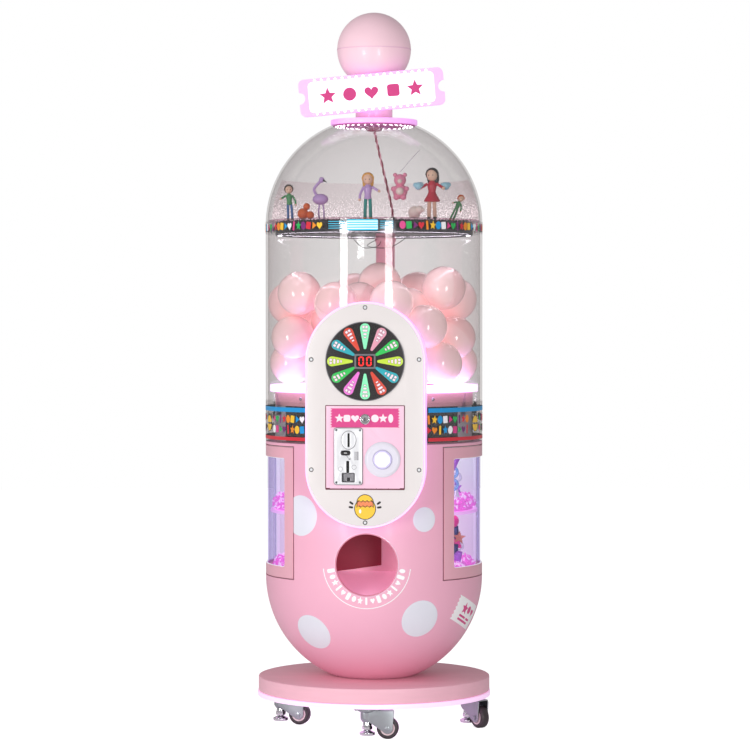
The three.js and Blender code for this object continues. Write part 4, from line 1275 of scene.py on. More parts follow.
def make_panel():
    """The stadium-shaped panel: its lit skirt, face plate, hatch gasket and screws."""
    front, back = FACE_Y + 1.2, -200
    outline = (PANEL_HALF, PANEL_LOW, PANEL_TOP)
    skirt = plate(stadium(*outline), back - front, [stadium(*outline, 3.0)], 0.8)
    ledge = plate(stadium(*outline, 2), 80, [stadium(*outline, 6)])
    for name, shape, gone in (("panel_skirt", skirt, ["panel_housing"]), ("panel_ledge", ledge, [])):
        drum = disc(BODY_R + 0.4, PANEL_LOW - 10, PANEL_TOP + 10, 0, 216)
        at(shape, 0, back, 0, FRONT)
        piece(name, carve(shape, drum), PANEL_LIGHT, replaces=gone)

    low, high = extent("panel_face")
    hatch_mid = (HATCH_LOW.z + HATCH_HIGH.z) / 2
    hatch = rectangle(176, HATCH_HIGH.z - HATCH_LOW.z + 1.2, 0, 0, hatch_mid)
    holes = [hatch, circle(80, 64, 0, WHEEL_Z)]
    face = plate(stadium(*outline, 3.4), high.y - low.y, holes, 0.5)
    piece("panel_plate", at(face, 0, high.y, 0, FRONT), FACE_WHITE, replaces=["panel_face"])
    # painted shade: a dark frame behind the hatch's edges, seen through its gap
    gasket = plate(rectangle(179, 188, 0, 0, hatch_mid), 1.6, [rectangle(168, 178, 0, 0, hatch_mid)])
    piece("hatch_gasket", at(gasket, 0, high.y, 0, FRONT), GAP_SHADE)
    places = [(0, low.y, PANEL_TOP - 13), (0, low.y, PANEL_LOW + 13)]
    places += [(x, low.y, z) for x in (-119.5, 119.5) for z in (850, 606)]
    piece("panel_screws", screws(places, 3.4, 1.4), PLATE_METAL)
    washers = [at(ring(3.5, 5.0, 0, 0.35, 0.1, 32), *place, FRONT) for place in places]
    piece("panel_screw_rims", join(*washers), BLACK)


def petal(inner, outer, small, big):
    """A teardrop that points inwards, upright over the origin."""
    lean = math.degrees(math.asin((big - small) / (outer - big - inner - small)))
    wide = arc(0, outer - big, big, -lean, 180 + lean, 24)
    return wide + arc(0, inner + small, small, 180 + lean, 360 - lean, 12)


PETALS = 12
PETAL_COLOURS = ("7FE0AC", "CF8DA0", "2DB450", "B5D03E", "2A9CA8", "C8402F")
ODD_PETAL, MAGENTA = 7, "D86BC4"  # the one petal that breaks the row of colours
PETAL_BLOCKS = ((76, -3.4, 5.4, 6), (76, 3.4, 5.4, 6), (68, 0, 11, 5), (60, 0, 8, 4.6),
                (53, 0, 6, 3.4))  # radius, across, width, height


def on_wheel(shape, sunk):
    """Puts a flat shape on the wheel's face, sunk behind its front plane."""
    return at(shape, 0, WHEEL_Y + sunk, WHEEL_Z, FRONT)


def petal_finish(name, colour):
    return print_colour(f"petal_{name}", colour, 0.25, 0.3)


def make_wheel():
    """The prize wheel: a black disc, its petals with their prints, and the two digits."""
    cover = join(disc(88, 0, 1.6, 0.6, 128), disc(77.5, -13, 0, 0.4, 96))
    piece("wheel_cover", on_wheel(cover, 2.0), BLACK, replaces=["prize_wheel"])
    piece("wheel_rim", on_wheel(ring(86.2, 87.8, 0, 0.5, 0.2), 0.45), GREY)
    finishes = [petal_finish(colour, colour) for colour in PETAL_COLOURS]
    odd_finish = petal_finish("magenta", MAGENTA)
    blocks, shades = [], []
    for i in range(PETALS):
        finish = odd_finish if i == ODD_PETAL else finishes[i % len(finishes)]
        turn = Matrix.Rotation(-math.tau * i / PETALS, 4, "Z")
        leaf = moved(plate(petal(27, 84, 3, 11), 0.7, bevel=0.25), turn)
        piece(f"petal_{i}", on_wheel(leaf, 0.45), finish)
        for radius, across, width, height in PETAL_BLOCKS:
            shade_outline = rectangle(width + 0.8, height + 0.8, 1.4)
            block_outline = rectangle(width - 0.6, height - 0.6, 1)
            shades.append(moved(at(plate(shade_outline, 0.15), across, radius, 0), turn))
            blocks.append(moved(at(plate(block_outline, 0.3), across, radius, 0), turn))
    piece("petal_shades", on_wheel(join(*shades), -0.2), GREY)
    piece("petal_marks", on_wheel(join(*blocks), -0.2), BANNER_CREAM)
    frame_shape = plate(rectangle(47, 33, 3), 1.8, [rectangle(39, 25, 1.5)], 0.5)
    piece("counter_frame", on_wheel(frame_shape, 0.45), GREY)
    piece("counter_window", on_wheel(plate(rectangle(39, 25, 1.5), 0.4), 0.45), DARK_GLASS_AND_SHADE)
    upright, across = rectangle(2.2, 7.4, 1), rectangle(7, 2.2, 1)
    zero = [(upright, -4.6, 4.6), (upright, 4.6, 4.6), (upright, -4.6, -4.6), (upright, 4.6, -4.6),
            (across, 0, 9), (across, 0, -9)]
    digits = [at(plate(shape, 0.2), x + side * 8.6, y, 0)
              for side in (-1, 1) for shape, x, y in zero]
    piece("counter_digits", on_wheel(join(*digits), 0.05), DIGIT_RED)


# ---- Service hatch -----------------------------------------------------------------------------


LOCK_Z = 718


def make_hatch():
    """The service hatch with its banner, and what rides on it."""
    coin, button = middle_of("coin_acceptor"), middle_of("button_bezel")
    width, height = 172.4, HATCH_HIGH.z - HATCH_LOW.z - 2.2
    mid = (HATCH_LOW.z + HATCH_HIGH.z) / 2 + 0.6
    front = HATCH_LOW.y
    holes = [rectangle(61, 122, 2, coin.x, coin.z), circle(24.8, 48, button.x, button.z),
             circle(9.5, 32, 0, LOCK_Z)]
    slab = plate(rectangle(width, height, 1.2, 0, mid), 3, holes, 0.4)
    on_hatch("hatch_slab", slab, (0, front + 3, 0), HATCH_PAINT, ["service_hatch"])
    hinge = [tube([(x, front + 3, HATCH_LOW.z + 3), (x + 25, front + 3, HATCH_LOW.z + 3)], 2.9, 16)
             for x in range(-78, 70, 26)]
    piece("hatch_hinge", join(*hinge), HATCH_PAINT, "service_hatch")
    top, bottom = height / 2 + 0.3, HATCH_LOW.z - 0.5 - mid
    tall, middle = top - bottom, (top + bottom) / 2
    # painted shade: a dark outline round the hatch on the panel, for the shade of its gap
    gap = plate(rectangle(width + 3.6, tall + 3.4, 2, -0.4, middle - 0.4), 0.15,
                [rectangle(width + 0.6, tall, 1, 0, middle)])
    piece("hatch_gap", shape_on_panel(gap, 0, mid), GAP_SHADE)
    banner = plate(ticket(154, 42, 7, 4.2), 0.2, [circle(10.5, 32, 0, -3)])
    on_hatch("hatch_banner", banner, (0, front, LOCK_Z + 3), HOT_PINK)
    shapes = ((star(10.5, 4.8), -57), (rectangle(15, 15, 4), -40), (heart(19), -22),
              (circle(8.4, 32), 22), (star(10.5, 4.8), 40), (ellipse(11, 19), 57))
    marks = join(*(at(plate(shape, 0.12), x, -1, 0) for shape, x in shapes))
    on_hatch("hatch_banner_marks", marks, (0, front - 0.2, LOCK_Z + 3), BANNER_CREAM)
    make_coin_acceptor(coin.x, coin.z)
    make_button(button.x, button.z, front - 0.3)
    make_lock(LOCK_Z, front - 0.3)


def on_hatch(name, shape, place, finish, gone=()):
    """A flat piece that faces the front and rides on the hatch."""
    return piece(name, at(shape, *place, FRONT), finish, "service_hatch", gone)


COIN_SLOT, COIN_CUP, COIN_GATE = (1, 36), (0, -47), (-6, 7.5)  # seen from the plate's centre


def make_coin_acceptor(x, z):
    """The coin acceptor round (x, z): plate, mechanism, cup flap, screws, prints and button."""
    back = HATCH_LOW.y - 0.3
    front = back - 3.2
    cup, gate = rectangle(27, 19, 2, *COIN_CUP), rectangle(19.6, 9.6, 2, *COIN_GATE)
    groove = rectangle(6.4, 27, 2.6, -1, -23.5)
    face = plate(rectangle(62, 125, 5.4), 3.2, [cup, gate, groove], 1.0)
    slot = rectangle(4.8, 31, 2.2, *COIN_SLOT)
    face = join(face, at(plate(ellipse(32, 40, 64, *COIN_SLOT), 1.6, [slot], 0.6), 0, 0, 3.1))
    on_hatch("coin_plate", face, (x, back, z), PLATE_METAL, ["coin_acceptor"])
    # painted shade round the plate and its openings
    on_hatch("coin_shade_outlines", coin_shade_outlines(cup, gate), (x, back, z), GREY)
    # painted shade in the coin slot and in the groove below the cup
    dark = join(at(plate(rectangle(4.8, 30.8, 2.2, *COIN_SLOT), 0.2), 0, 0, 3.2),
                at(plate(groove, 0.4), 0, 0, 1.4))
    on_hatch("coin_slit", dark, (x, back, z), DARK_GLASS_AND_SHADE)
    inside_y = extent("coin_acceptor")[1].y
    mechanism = carve(block(x - 30, x + 30, back + 0.6, inside_y, z - 60, z + 60, 1.2),
                      block(x - 13.4, x + 13.4, back - 3, back + 13, z - 56.4, z - 37.6),
                      block(x - 15.7, x + 3.7, back - 3, back + 9.6, z + 2.8, z + 12.2))
    piece("coin_mechanism", mechanism, GREY, "service_hatch")
    flap = plate(rectangle(25.4, 17.4, 2), 1.2, [rectangle(7, 9, 1, 0, -5)], 0.4)
    on_hatch("coin_flap", flap, (x, back + 4, z + COIN_CUP[1]), COIN_GREY)
    corners = [(x + dx, front, z + dz) for dx in (-26.3, 26.3) for dz in (-57.8, 57.8)]
    piece("coin_screws", screws(corners, 3.0, 0.9), ZINC, "service_hatch")
    # painted shade in the screw sockets
    dots = [at(plate(circle(1.5, 6), 0.6), *place, FRONT) for place in corners]
    piece("coin_screw_dots", join(*dots), DARK_GLASS_AND_SHADE, "service_hatch")
    on_hatch("coin_prints", coin_prints(), (x, front, z), COIN_GREY)
    make_return_button()


def coin_shade_outlines(cup, gate):
    """Painted shade: a dark frame round the plate where its shadow falls on the hatch, and thin dark
    rings round its slot, cup and gate.
    """
    border = plate(rectangle(64, 127, 6), 2.4, [rectangle(61.4, 124.4, 5.4)], 0.4)
    slot = ellipse(31.6, 39.6, 64, *COIN_SLOT)
    rings = join(plate(ellipse(34, 42, 64, *COIN_SLOT), 0.25, [slot]),
                 plate(rectangle(29.4, 21.4, 3, *COIN_CUP), 0.25, [cup]),
                 plate(ellipse(23, 12.4, 48, *COIN_GATE), 0.25, [gate]))
    return join(border, at(rings, 0, 0, 3.2))


def coin_prints():
    """Four bars, two small rings and an arrow."""
    bars = [at(plate(rectangle(width, 19, 0.5), 0.1), dx, 1, 0)
            for width, dx in ((1.4, 15), (1, 17.4), (2, 20), (1, 22.4))]
    rings = [at(ring(4.4, 5.2, 0, 0.1, 0.02, 32), dx, dz, 0) for dx, dz in ((-17, -28), (13, -24))]
    arrow = plate([(-6, 1), (-1, -6), (2, -4.4), (2, -9), (-3, -8), (-1.6, -7), (-7, 0)], 0.1)
    return join(*bars, *rings, at(arrow, 3, 1, 0))


def make_return_button():
    low, high = extent("coin_return_button")
    x, _, z = middle_of("coin_return_button")
    cap = plate(ellipse(high.x - low.x, high.z - low.z, 48), high.y - low.y, bevel=0.8)
    piece("return_cap", at(cap, x, high.y, z, FRONT), BLACK, "coin_return", ["coin_return_button"])
    glyph = at(plate(rectangle(7, 1.2, 0.5), 0.1), x, low.y, z, FRONT)
    piece("return_glyph", glyph, PRINT_WHITE, "coin_return")


def make_button(x, z, seat):
    bezel = turned([(24, 0), (39.5, 0), (39.5, 1.5), (34, 4.5), (21.5, 4.5), (21.5, -12),
                    (8.4, -12), (8.4, -16), (24, -16), (24, 0)], 1.0, 4, 96)
    on_hatch("bezel_ring", bezel, (x, seat, z), WHITE, ["button_bezel"])
    dome = turned([(0, -24), (7.9, -24), (7.9, -7.7), (21, -7.7), (21, 4.6), (19.6, 7.4),
                   (16.4, 8.6), (0, 8.6)], 0.8, 4, 96)
    collar = at(dome, x, seat, z, FRONT)
    piece("button_collar", collar, BUTTON_RING, "push_button", ["button_cap"])
    lens = at(plate(circle(17.4, 8), 1.9, bevel=0.9), 0, 0, 8.2, turn_by(22.5))
    piece("button_lens", at(lens, x, seat, z, FRONT), BUTTON_LIGHT, "push_button")


def make_lock(z, seat):
    barrel = [(0, -21.6), (8.8, -21.6), (8.8, 0), (11.8, 0), (11.8, 2.2), (10.2, 4), (7.2, 4),
              (7, 3.3), (0, 3.3)]
    cam = at(plate(rectangle(13.6, 33.6, 5, 0, 8), 2.8, bevel=0.4), 0, 0, -22.8)
    head = at(join(turned(barrel, 0.5, 3, 64), cam), 0, seat, z, FRONT)
    piece("lock_head", head, CHROME, "service_lock", ["service_lock"])
    # painted shade in the lock's keyway
    slit = plate(rectangle(1.8, 9, 0.8), 0.15)
    piece("lock_slit", at(slit, 0, seat - 3.3, z, FRONT), DARK_GLASS_AND_SHADE, "service_lock")


# ---- Clear chamber -----------------------------------------------------------------------------


def make_tube():
    low, high = TUBE_Z
    body = ring(BODY_R - 5, BODY_R, low, high, 0.5, 216)
    window = block(-88, 88, -BODY_R - 5, -185, low - 5, 755)
    piece("tube_wall", carve(body, window), CLEAR, replaces=["clear_tube"])
    seam = [around(BODY_R - 4.6, 180, z) for z in (762, 900, 1040, high - 8)]
    piece("tube_seam", tube(seam, 0.9, 8), PRINT_FILM)


BAND = {"low": 658.5, "high": 752, "blue": (730, 740), "red": (665.5, 673.5), "rows": (714, 690.5)}
BAND_PHI = 33.0  # the band starts here and ends as far on the other side of the front
ICON_PHI = (71, 146, 214, 291.5)


def free_of_icons(phi):
    return min(abs(phi - icon) for icon in ICON_PHI) > 7 and BAND_PHI < phi < 360 - BAND_PHI


def band_shape(i, size):
    kinds = (
        rectangle(size * 0.8, size * 0.8, 2), circle(size * 0.45, 24), star(size * 0.52, size * 0.24),
        rectangle(size * 0.34, size, 2), heart(size * 0.95), circle(size * 0.45, 3),
    )
    return kinds[i % len(kinds)]


def make_band():
    """The printed band round the tube's foot: film, stripes, marks and four icons."""
    lift = BODY_R + 0.05
    film = wall(BAND_PHI, 360 - BAND_PHI, lift, lift + 0.25, BAND["low"] + 1, BAND["high"])
    piece("band_film", film, PRINT_FILM)
    for label, finish in (("blue", BLUE), ("red", RED)):
        stripe = wall(BAND_PHI, 360 - BAND_PHI, lift + 0.25, lift + 0.45, *BAND[label])
        piece(f"band_{label}", stripe, finish)
    scatter_marks("band", BAND["rows"], 3.5, lift + 0.25, free_of_icons)
    for i, phi in enumerate(ICON_PHI):
        middle, wide = (BAND["rows"][0] + BAND["rows"][1]) / 2, 11
        backing = wall(phi - wide, phi + wide, DRUM_R + 0.6, DRUM_R + 0.9, 661.5, 741.5)
        piece(f"band_backing_{i}", backing, DOT_WHITE)
        for label, radius, thickness, finish in (("icon_rim", 17, 0.1, BLACK),
                                                 ("icon", 15.4, 0.2, YELLOW)):
            halves = [plate(arc(0, y, radius, start, start + 180, 24), thickness)
                      for y, start in ((2, 0), (-2, 180))]
            icon = on_drum(join(*halves), phi, middle, lift + 0.25, 5)
            piece(f"band_{label}_{i}", icon, finish)


MARK_SIZE = 20


def scatter_marks(name, rows, step, radius, allowed):
    """Rows of plain coloured marks round the drum, a piece for each colour."""
    by_colour = {finish.name: [] for finish in SHAPE_COLOURS}
    for row, z in enumerate(rows):
        for i in range(int(360 / step)):
            phi = step * (i + 0.5)
            if not allowed(phi):
                continue
            finish = SHAPE_COLOURS[(i * 3 + row * 5) % len(SHAPE_COLOURS)]
            flat = plate(band_shape(i * 5 + row * 2, MARK_SIZE), 0.2)
            spin = turn_by((i * 37) % 16 - 8)
            moved(flat, spin @ Matrix.Diagonal((0.8, 1, 1, 1)))
            by_colour[finish.name].append(on_drum(flat, phi, z, radius, 5))
    for finish in SHAPE_COLOURS:
        piece(f"{name}_{finish.name}", join(*by_colour[finish.name]), finish)


def make_drum():
    """The drum behind the band, and the lit platform that the capsules lie on."""
    low, high = DRUM_Z
    body = ring(DRUM_R - 4, DRUM_R, low, high, 0.6, 216)
    piece("drum_wall", carve(body, block(-88, 88, -BODY_R, -150, low - 5, 730)), DRUM_PAINT,
          replaces=["inner_drum"])
    piece("drum_film", wall(24, 336, DRUM_R + 0.1, DRUM_R + 0.5, 661, 742), MIRROR)
    heads = [moved(screw_head(4.4, 2), spun(DRUM_R, phi, 759) @ FRONT)
             for phi in (39.5, 100, 150, 210, 260, 317.5)]
    piece("drum_screws", join(*heads), CHROME)
    low, high = PLATFORM_Z
    piece("platform_plate", ring(150.2, 239.8, low + 0.2, high, 1.0, 160), PLATFORM_LIGHT,
          replaces=["light_platform"])
    for i, phi in enumerate((64, 100, 150, 210, 262, 296)):
        gusset = at(plate([(0, 0), (0, -52), (-14, -52)], 3, bevel=0.4), 0, 1.5, 0, FRONT)
        edgewise = turn_by(-90)
        piece(f"platform_gusset_{i}", moved(gusset, spun(239, phi, low - 1) @ edgewise), WINDOW)


CAPSULE_R, CAPSULE_REACH = 50, 194.5
POST_X, POST_Y, POST_R = 14, 186, 22.5
FRONT_CAPSULES = [
    (-163, -105, 998), (-181, -71, 898), (-192, 31, 838), (-90, -170, 974), (-126, 40, 885),
    (14, -60, 1020), (52, -140, 976), (-26, -110, 974), (165, -80, 1010), (198, 60, 985),
    (96, 60, 1000), (132, -140, 922), (186, -40, 897), (158, -110, 838), (192, 30, 838),
]
CAPSULE_LAYERS = (
    (0, 194, 12, 15), (0, 97, 6, 0), (1, 194, 12, 0), (1, 97, 6, 30), (2, 194, 12, 15),
    (2, 97, 5, 0), (1, 10, 1, 0),
)  # level, radius, number of capsules, first angle


def capsule_places():
    """Where the capsules lie: those that show at the front are placed, the others fill up behind."""
    placed = [Vector(spot) for spot in FRONT_CAPSULES]
    fixed = len(placed)
    floor = PLATFORM_Z[1] + CAPSULE_R + 0.2
    for level, radius, number, offset in CAPSULE_LAYERS:
        for i in range(number):
            spot = around(radius, offset + 360 * i / number, floor + level * 76 + 2)
            if all((spot - other).length > 72 for other in placed):
                placed.append(spot)
    for _ in range(300):
        push_apart(placed, fixed)
        for i, spot in enumerate(placed):
            if i >= fixed:
                spot.z -= 0.5
            keep_inside(spot, floor)
    kept = placed[:fixed]
    for spot in placed[fixed:]:
        if spot.z < 1020 and all((spot - other).length > 95 for other in kept):
            kept.append(spot)
    return kept


def push_apart(placed, fixed):
    """Moves capsules out of each other. The first ones, up to fixed, move along Y only."""
    for i, a in enumerate(placed):
        for j in range(i + 1, len(placed)):
            b = placed[j]
            apart = b - a
            overlap = 2 * CAPSULE_R + 0.2 - apart.length
            if overlap <= 0:
                continue
            push = apart.normalized() * overlap * 0.5
            if i < fixed <= j:
                b += push * 2
            elif j < fixed:
                a.y -= push.y
                b.y += push.y
            else:
                a -= push
                b += push


def keep_inside(spot, floor):
    """Keeps a capsule's centre off the wiring post, the tube and the floor."""
    away = Vector((spot.x - POST_X, spot.y - POST_Y, 0))
    clearance = POST_R + CAPSULE_R + 0.5
    if away.length < clearance:
        spot += away.normalized() * (clearance - away.length)
    flat = Vector((spot.x, spot.y, 0))
    if flat.length > CAPSULE_REACH:
        spot -= flat.normalized() * (flat.length - CAPSULE_REACH)
    spot.z = max(spot.z, floor)


def half_shell(radius, sign, groove):
    """Half a capsule with a step at its joint."""
    lip = 2.2
    profile = [(radius * math.cos(math.radians(a)), sign * radius * math.sin(math.radians(a)))
               for a in range(90, 4, -4)]
    profile[0] = (0, sign * radius)
    profile += [(radius - groove, sign * lip), (radius - groove, 0), (0, 0)]
    return lathe(profile, 48)


def make_capsules():
    upper, lower, marks = [], [], []
    for spot in capsule_places():
        place = Matrix.Translation(spot) @ random_turn()
        upper.append(moved(half_shell(49.9, 1, 0.0), place))
        lower.append(moved(half_shell(49.5, -1, 0.9), place))
        boss = join(*(at(disc(1.6, 0, 0.5, 0.2, 12), *polar(7, 120 * k), 49.0) for k in range(3)))
        marks.append(moved(boss, place))
    piece("capsule_tops", join(*upper), CAPSULE, replaces=["capsule_heap"])
    piece("capsule_bowls", join(*lower), CAPSULE_LOW)
    piece("capsule_nubs", join(*marks), CAPSULE_LOW)


def make_post():
    low, high = extent("wiring_post")
    x, y, _ = middle_of("wiring_post")
    collars = [ring(22.3, 25, z, z + 10, 1, 64) for z in (low.z + 1, high.z - 11)]
    post = join(ring(19, 22.4, low.z, high.z, 0.5, 64), *collars)
    piece("post_tube", at(post, x, y, 0), PALE_PINK, replaces=["wiring_post"])
    wires = []
    for start, end in ((-20, 60), (-8, -75)):
        path = spline([(x + start, y - 18, high.z - 6), (x + start * 2, y - 36, high.z - 22),
                       ((x + start + end) / 2, y - 60, high.z - 26), (x + end, y - 90, high.z - 1)])
        wires.append(tube(path, 0.8, 8))
    piece("post_wires", join(*wires), BLACK)


# ---- Show drum, shelf and dome -----------------------------------------------------------------


def make_show_drum():
    """The show level: mirrored tray, deck, lamp, tape with its marks, and the clear shelf."""
    low, high = SHOW_Z
    tray = [(0, low), (DRUM_R, low), (DRUM_R, high), (DRUM_R - 4, high), (DRUM_R - 4, low + 4),
            (0, low + 4)]
    piece("show_drum_tray", turned(tray, 0.6, 4, 216), MIRROR, replaces=["show_drum"])
    piece("show_deck", disc(DRUM_R - 4.6, high - 3.2, high - 1, 0.4, 160), DECK_PINK)
    piece("show_lamp", ring(DRUM_R - 14, DRUM_R - 5, low - 1.0, low - 0.2, 0.2, 160), SHOW_LIGHT)
    rims = [ring(inner, inner + 3.2, low - 3.2, low - 0.2, 0.5, 216)
            for inner in (DRUM_R - 4.4, DRUM_R - 17.8)]
    piece("show_lamp_rims", join(*rims), MIRROR)
    tape_r = BODY_R + 0.05
    piece("show_tape", ring(tape_r, tape_r + 0.25, low + 1, high + 1, 0.05, 216), PRINT_FILM)
    middle = (low + high) / 2 + 1
    scatter_marks("show", (middle,), 3.4, tape_r + 0.25, lambda phi: 18 < phi < 337)
    sticker = on_drum(plate(rectangle(70, 24, 3), 0.2), -2, middle, tape_r + 0.25)
    piece("show_sticker", sticker, CYAN)
    bars = [at(plate(rectangle(70, 2.4, 1), 0.1), 0, y, 0) for y in (-8, -2.7, 2.7, 8)]
    piece("show_sticker_bars", on_drum(join(*bars), -2, middle, tape_r + 0.45), PRINT_WHITE)
    streaks = [wall(start, end, tape_r + 0.25, tape_r + 0.4, middle + y - 0.6, middle + y + 0.6)
               for start, end in ((340, 349), (7, 14)) for y in (-7, -2, 3, 8)]
    piece("show_streaks", join(*streaks), CYAN)
    low, high = SHELF_Z
    piece("show_shelf_plate", disc(242.8, low, high, 0.8, 200), SHELF_CLEAR, replaces=["show_shelf"])


def dome_profile(radius, start, end, steps=40):
    a0, a1 = (math.asin(max(min((z - DOME_CENTRE) / radius, 1), 0)) for z in (start, end))
    turns = [a0 + (a1 - a0) * i / steps for i in range(steps + 1)]
    return [(radius * math.cos(a), DOME_CENTRE + radius * math.sin(a)) for a in turns]


def make_dome():
    low, high = DOME_Z
    inner = BODY_R - 4
    profile = [(BODY_R, low), *dome_profile(BODY_R, DOME_CENTRE, high),
               *dome_profile(inner, high - 3, DOME_CENTRE), (inner, low), (BODY_R, low)]
    piece("dome_shell", lathe(profile, 216), DOME_CLEAR, replaces=["dome"], sharp=50)
    sheet = dome_profile(inner - 3, 1168, 1262, 16)
    film = lathe([*sheet, *[(r - 0.6, z) for r, z in sheet[::-1]], sheet[0]], 160)
    piece("dome_film", cut_open(film, (0, 30, 0), (0, -1, 0)), GLITTER_FILM)


def make_cap():
    """The cap ring with two rings of small lamps under it, and the cable's hub."""
    low, high = CAP_Z
    cap = turned([(12, low), (100, low), (100, high), (12, high), (12, low)], 2.5, 5, 160)
    piece("cap_plate", cap, CAP_LIGHT, replaces=["cap_ring"])
    piece("lamp_board", ring(22, 94, low - 3.2, low - 0.2, 0.5), BOARD_PINK)
    lamps = []
    for radius, count in ((88, 38), (76, 30)):
        for i in range(count):
            x, y, _ = around(radius, 360 * i / count)
            lamps.append(at(ball(2.1, 12, (1, 1, 0.6)), x, y, low - 3.4))
    piece("board_lamps", join(*lamps), WHITE_LIGHT)
    hub = turned([(5, low - 14), (15, low - 14), (21, low - 8), (21, low - 0.3), (5, low - 0.3),
                  (5, low - 14)], 1.5, 3, 64)
    piece("cap_hub", hub, HUB_PINK)
    make_cable(low)


def make_cable(cap_z):
    """The dome's cable from its gland on the shelf up to the cap: two leads twisted together."""
    shelf = SHELF_Z[1] + 0.3
    route = [(38, 72, shelf), (37, 70, shelf + 30), (22, 42, 1270), (6, 14, 1345), (0, 2, cap_z - 8),
             (0, 0, cap_z + 6)]
    path = spline(route, 22)
    for name, start, finish, gone in (("cable_lead", 0, CABLE, ["dome_cable"]),
                                      ("cable_return", 180, PALE_PINK, [])):
        strand = []
        for i, spot in enumerate(path):
            along = (path[min(i + 1, len(path) - 1)] - path[max(i - 1, 0)]).normalized()
            side = along.cross(Vector((1, 0, 0))).normalized()
            x, y = polar(1.7, start + 33 * i)
            strand.append(spot + side * x + along.cross(side) * y)
        piece(name, tube(strand, 1.6, 10), finish, replaces=gone)
    gland = turned([(3.6, 0), (9, 0), (9, 4), (6, 10), (3.6, 10), (3.6, 0)], 0.6, 3, 32)
    piece("cable_gland", at(gland, 38, 72, shelf - 0.2), BLACK)


# ---- Figures and toys under the dome -----------------------------------------------------------


def limb(points, radius):
    return tube(spline(points, 4), radius, 12)


def peg_doll(name, x, y, height, turn, lean, colours, skirt, arms, long_hair=False):
    """A plain doll on the shelf: legs, a turned torso, a ball for a head and a cap of hair."""
    hair, top, bottom = colours
    h = height
    head_r = h * 0.115
    parts = {hair: [], top: [], bottom: [], "skin": []}
    if skirt:
        cone = [(0, 0.34), (0.15, 0.34), (0.16, 0.36), (0.09, 0.48), (0.065, 0.54), (0, 0.54)]
        parts[bottom].append(turned([(r * h, z * h) for r, z in cone], h * 0.01, 4, 32))
        legs = "skin"
    else:
        legs = bottom
    for side in (-1, 1):
        foot, hip = (side * h * 0.06, 0, h * 0.03), (side * h * 0.045, 0, h * 0.46)
        knee = (side * h * 0.055, -h * 0.015, h * 0.24)
        parts[legs].append(limb([foot, knee, hip], h * 0.036))
        shoe = at(ball(h * 0.042, 16, (0.9, 1.5, 0.6)), side * h * 0.062, -h * 0.02, h * 0.026)
        parts[hair].append(shoe)
        hand = Vector(arms[0 if side < 0 else 1]) * h
        shoulder = (side * h * 0.09, 0, h * 0.69)
        elbow = ((shoulder[0] + hand.x) / 2 + side * h * 0.03, -h * 0.02,
                 (shoulder[2] + hand.z) / 2 - h * 0.02)
        parts[top].append(limb([shoulder, elbow, hand], h * 0.027))
        parts["skin"].append(at(ball(h * 0.032, 16), *hand))
    torso = [(0, 0.43), (0.078, 0.43), (0.07, 0.54), (0.095, 0.67), (0.05, 0.74), (0, 0.75)]
    parts[top].append(turned([(r * h, z * h) for r, z in torso], h * 0.015, 4, 32))
    parts["skin"].append(at(disc(h * 0.03, 0, h * 0.06, 1, 24), 0, 0, h * 0.73))
    parts["skin"].append(at(ball(head_r, 32, (0.92, 0.95, 1.05)), 0, 0, h * 0.86))
    cap = cut_open(ball(head_r * 1.14, 32), (0, -head_r * 0.25, 0), (0, -0.8, -0.45))
    parts[hair].append(at(cap, 0, head_r * 0.06, h * 0.872))
    if long_hair:
        parts[hair].append(at(ball(head_r, 24, (1.05, 0.5, 1.75)), 0, head_r * 0.75, h * 0.8))
    eyes = [at(ball(head_r * 0.1, 10), s * head_r * 0.34, -head_r * 0.86, h * 0.85) for s in (-1, 1)]
    parts.setdefault("black", []).extend(eyes)
    shelf = Matrix.Translation((x, y, SHELF_Z[1] + 0.2))
    where = shelf @ turn_by(lean, "Y") @ turn_by(turn)
    for colour, shapes in parts.items():
        if shapes:
            piece(f"doll_{name}_{colour}", moved(join(*shapes), where), TOY[colour], sharp=60)


def round_toy(name, colour, balls, x, y, z, sides=24):
    """A toy of balls: each is (x, y, z, radius)."""
    parts = [at(ball(r, sides), bx, by, bz) for bx, by, bz, r in balls]
    piece(f"toy_{name}", at(join(*parts), x, y, z), TOY[colour], sharp=80)


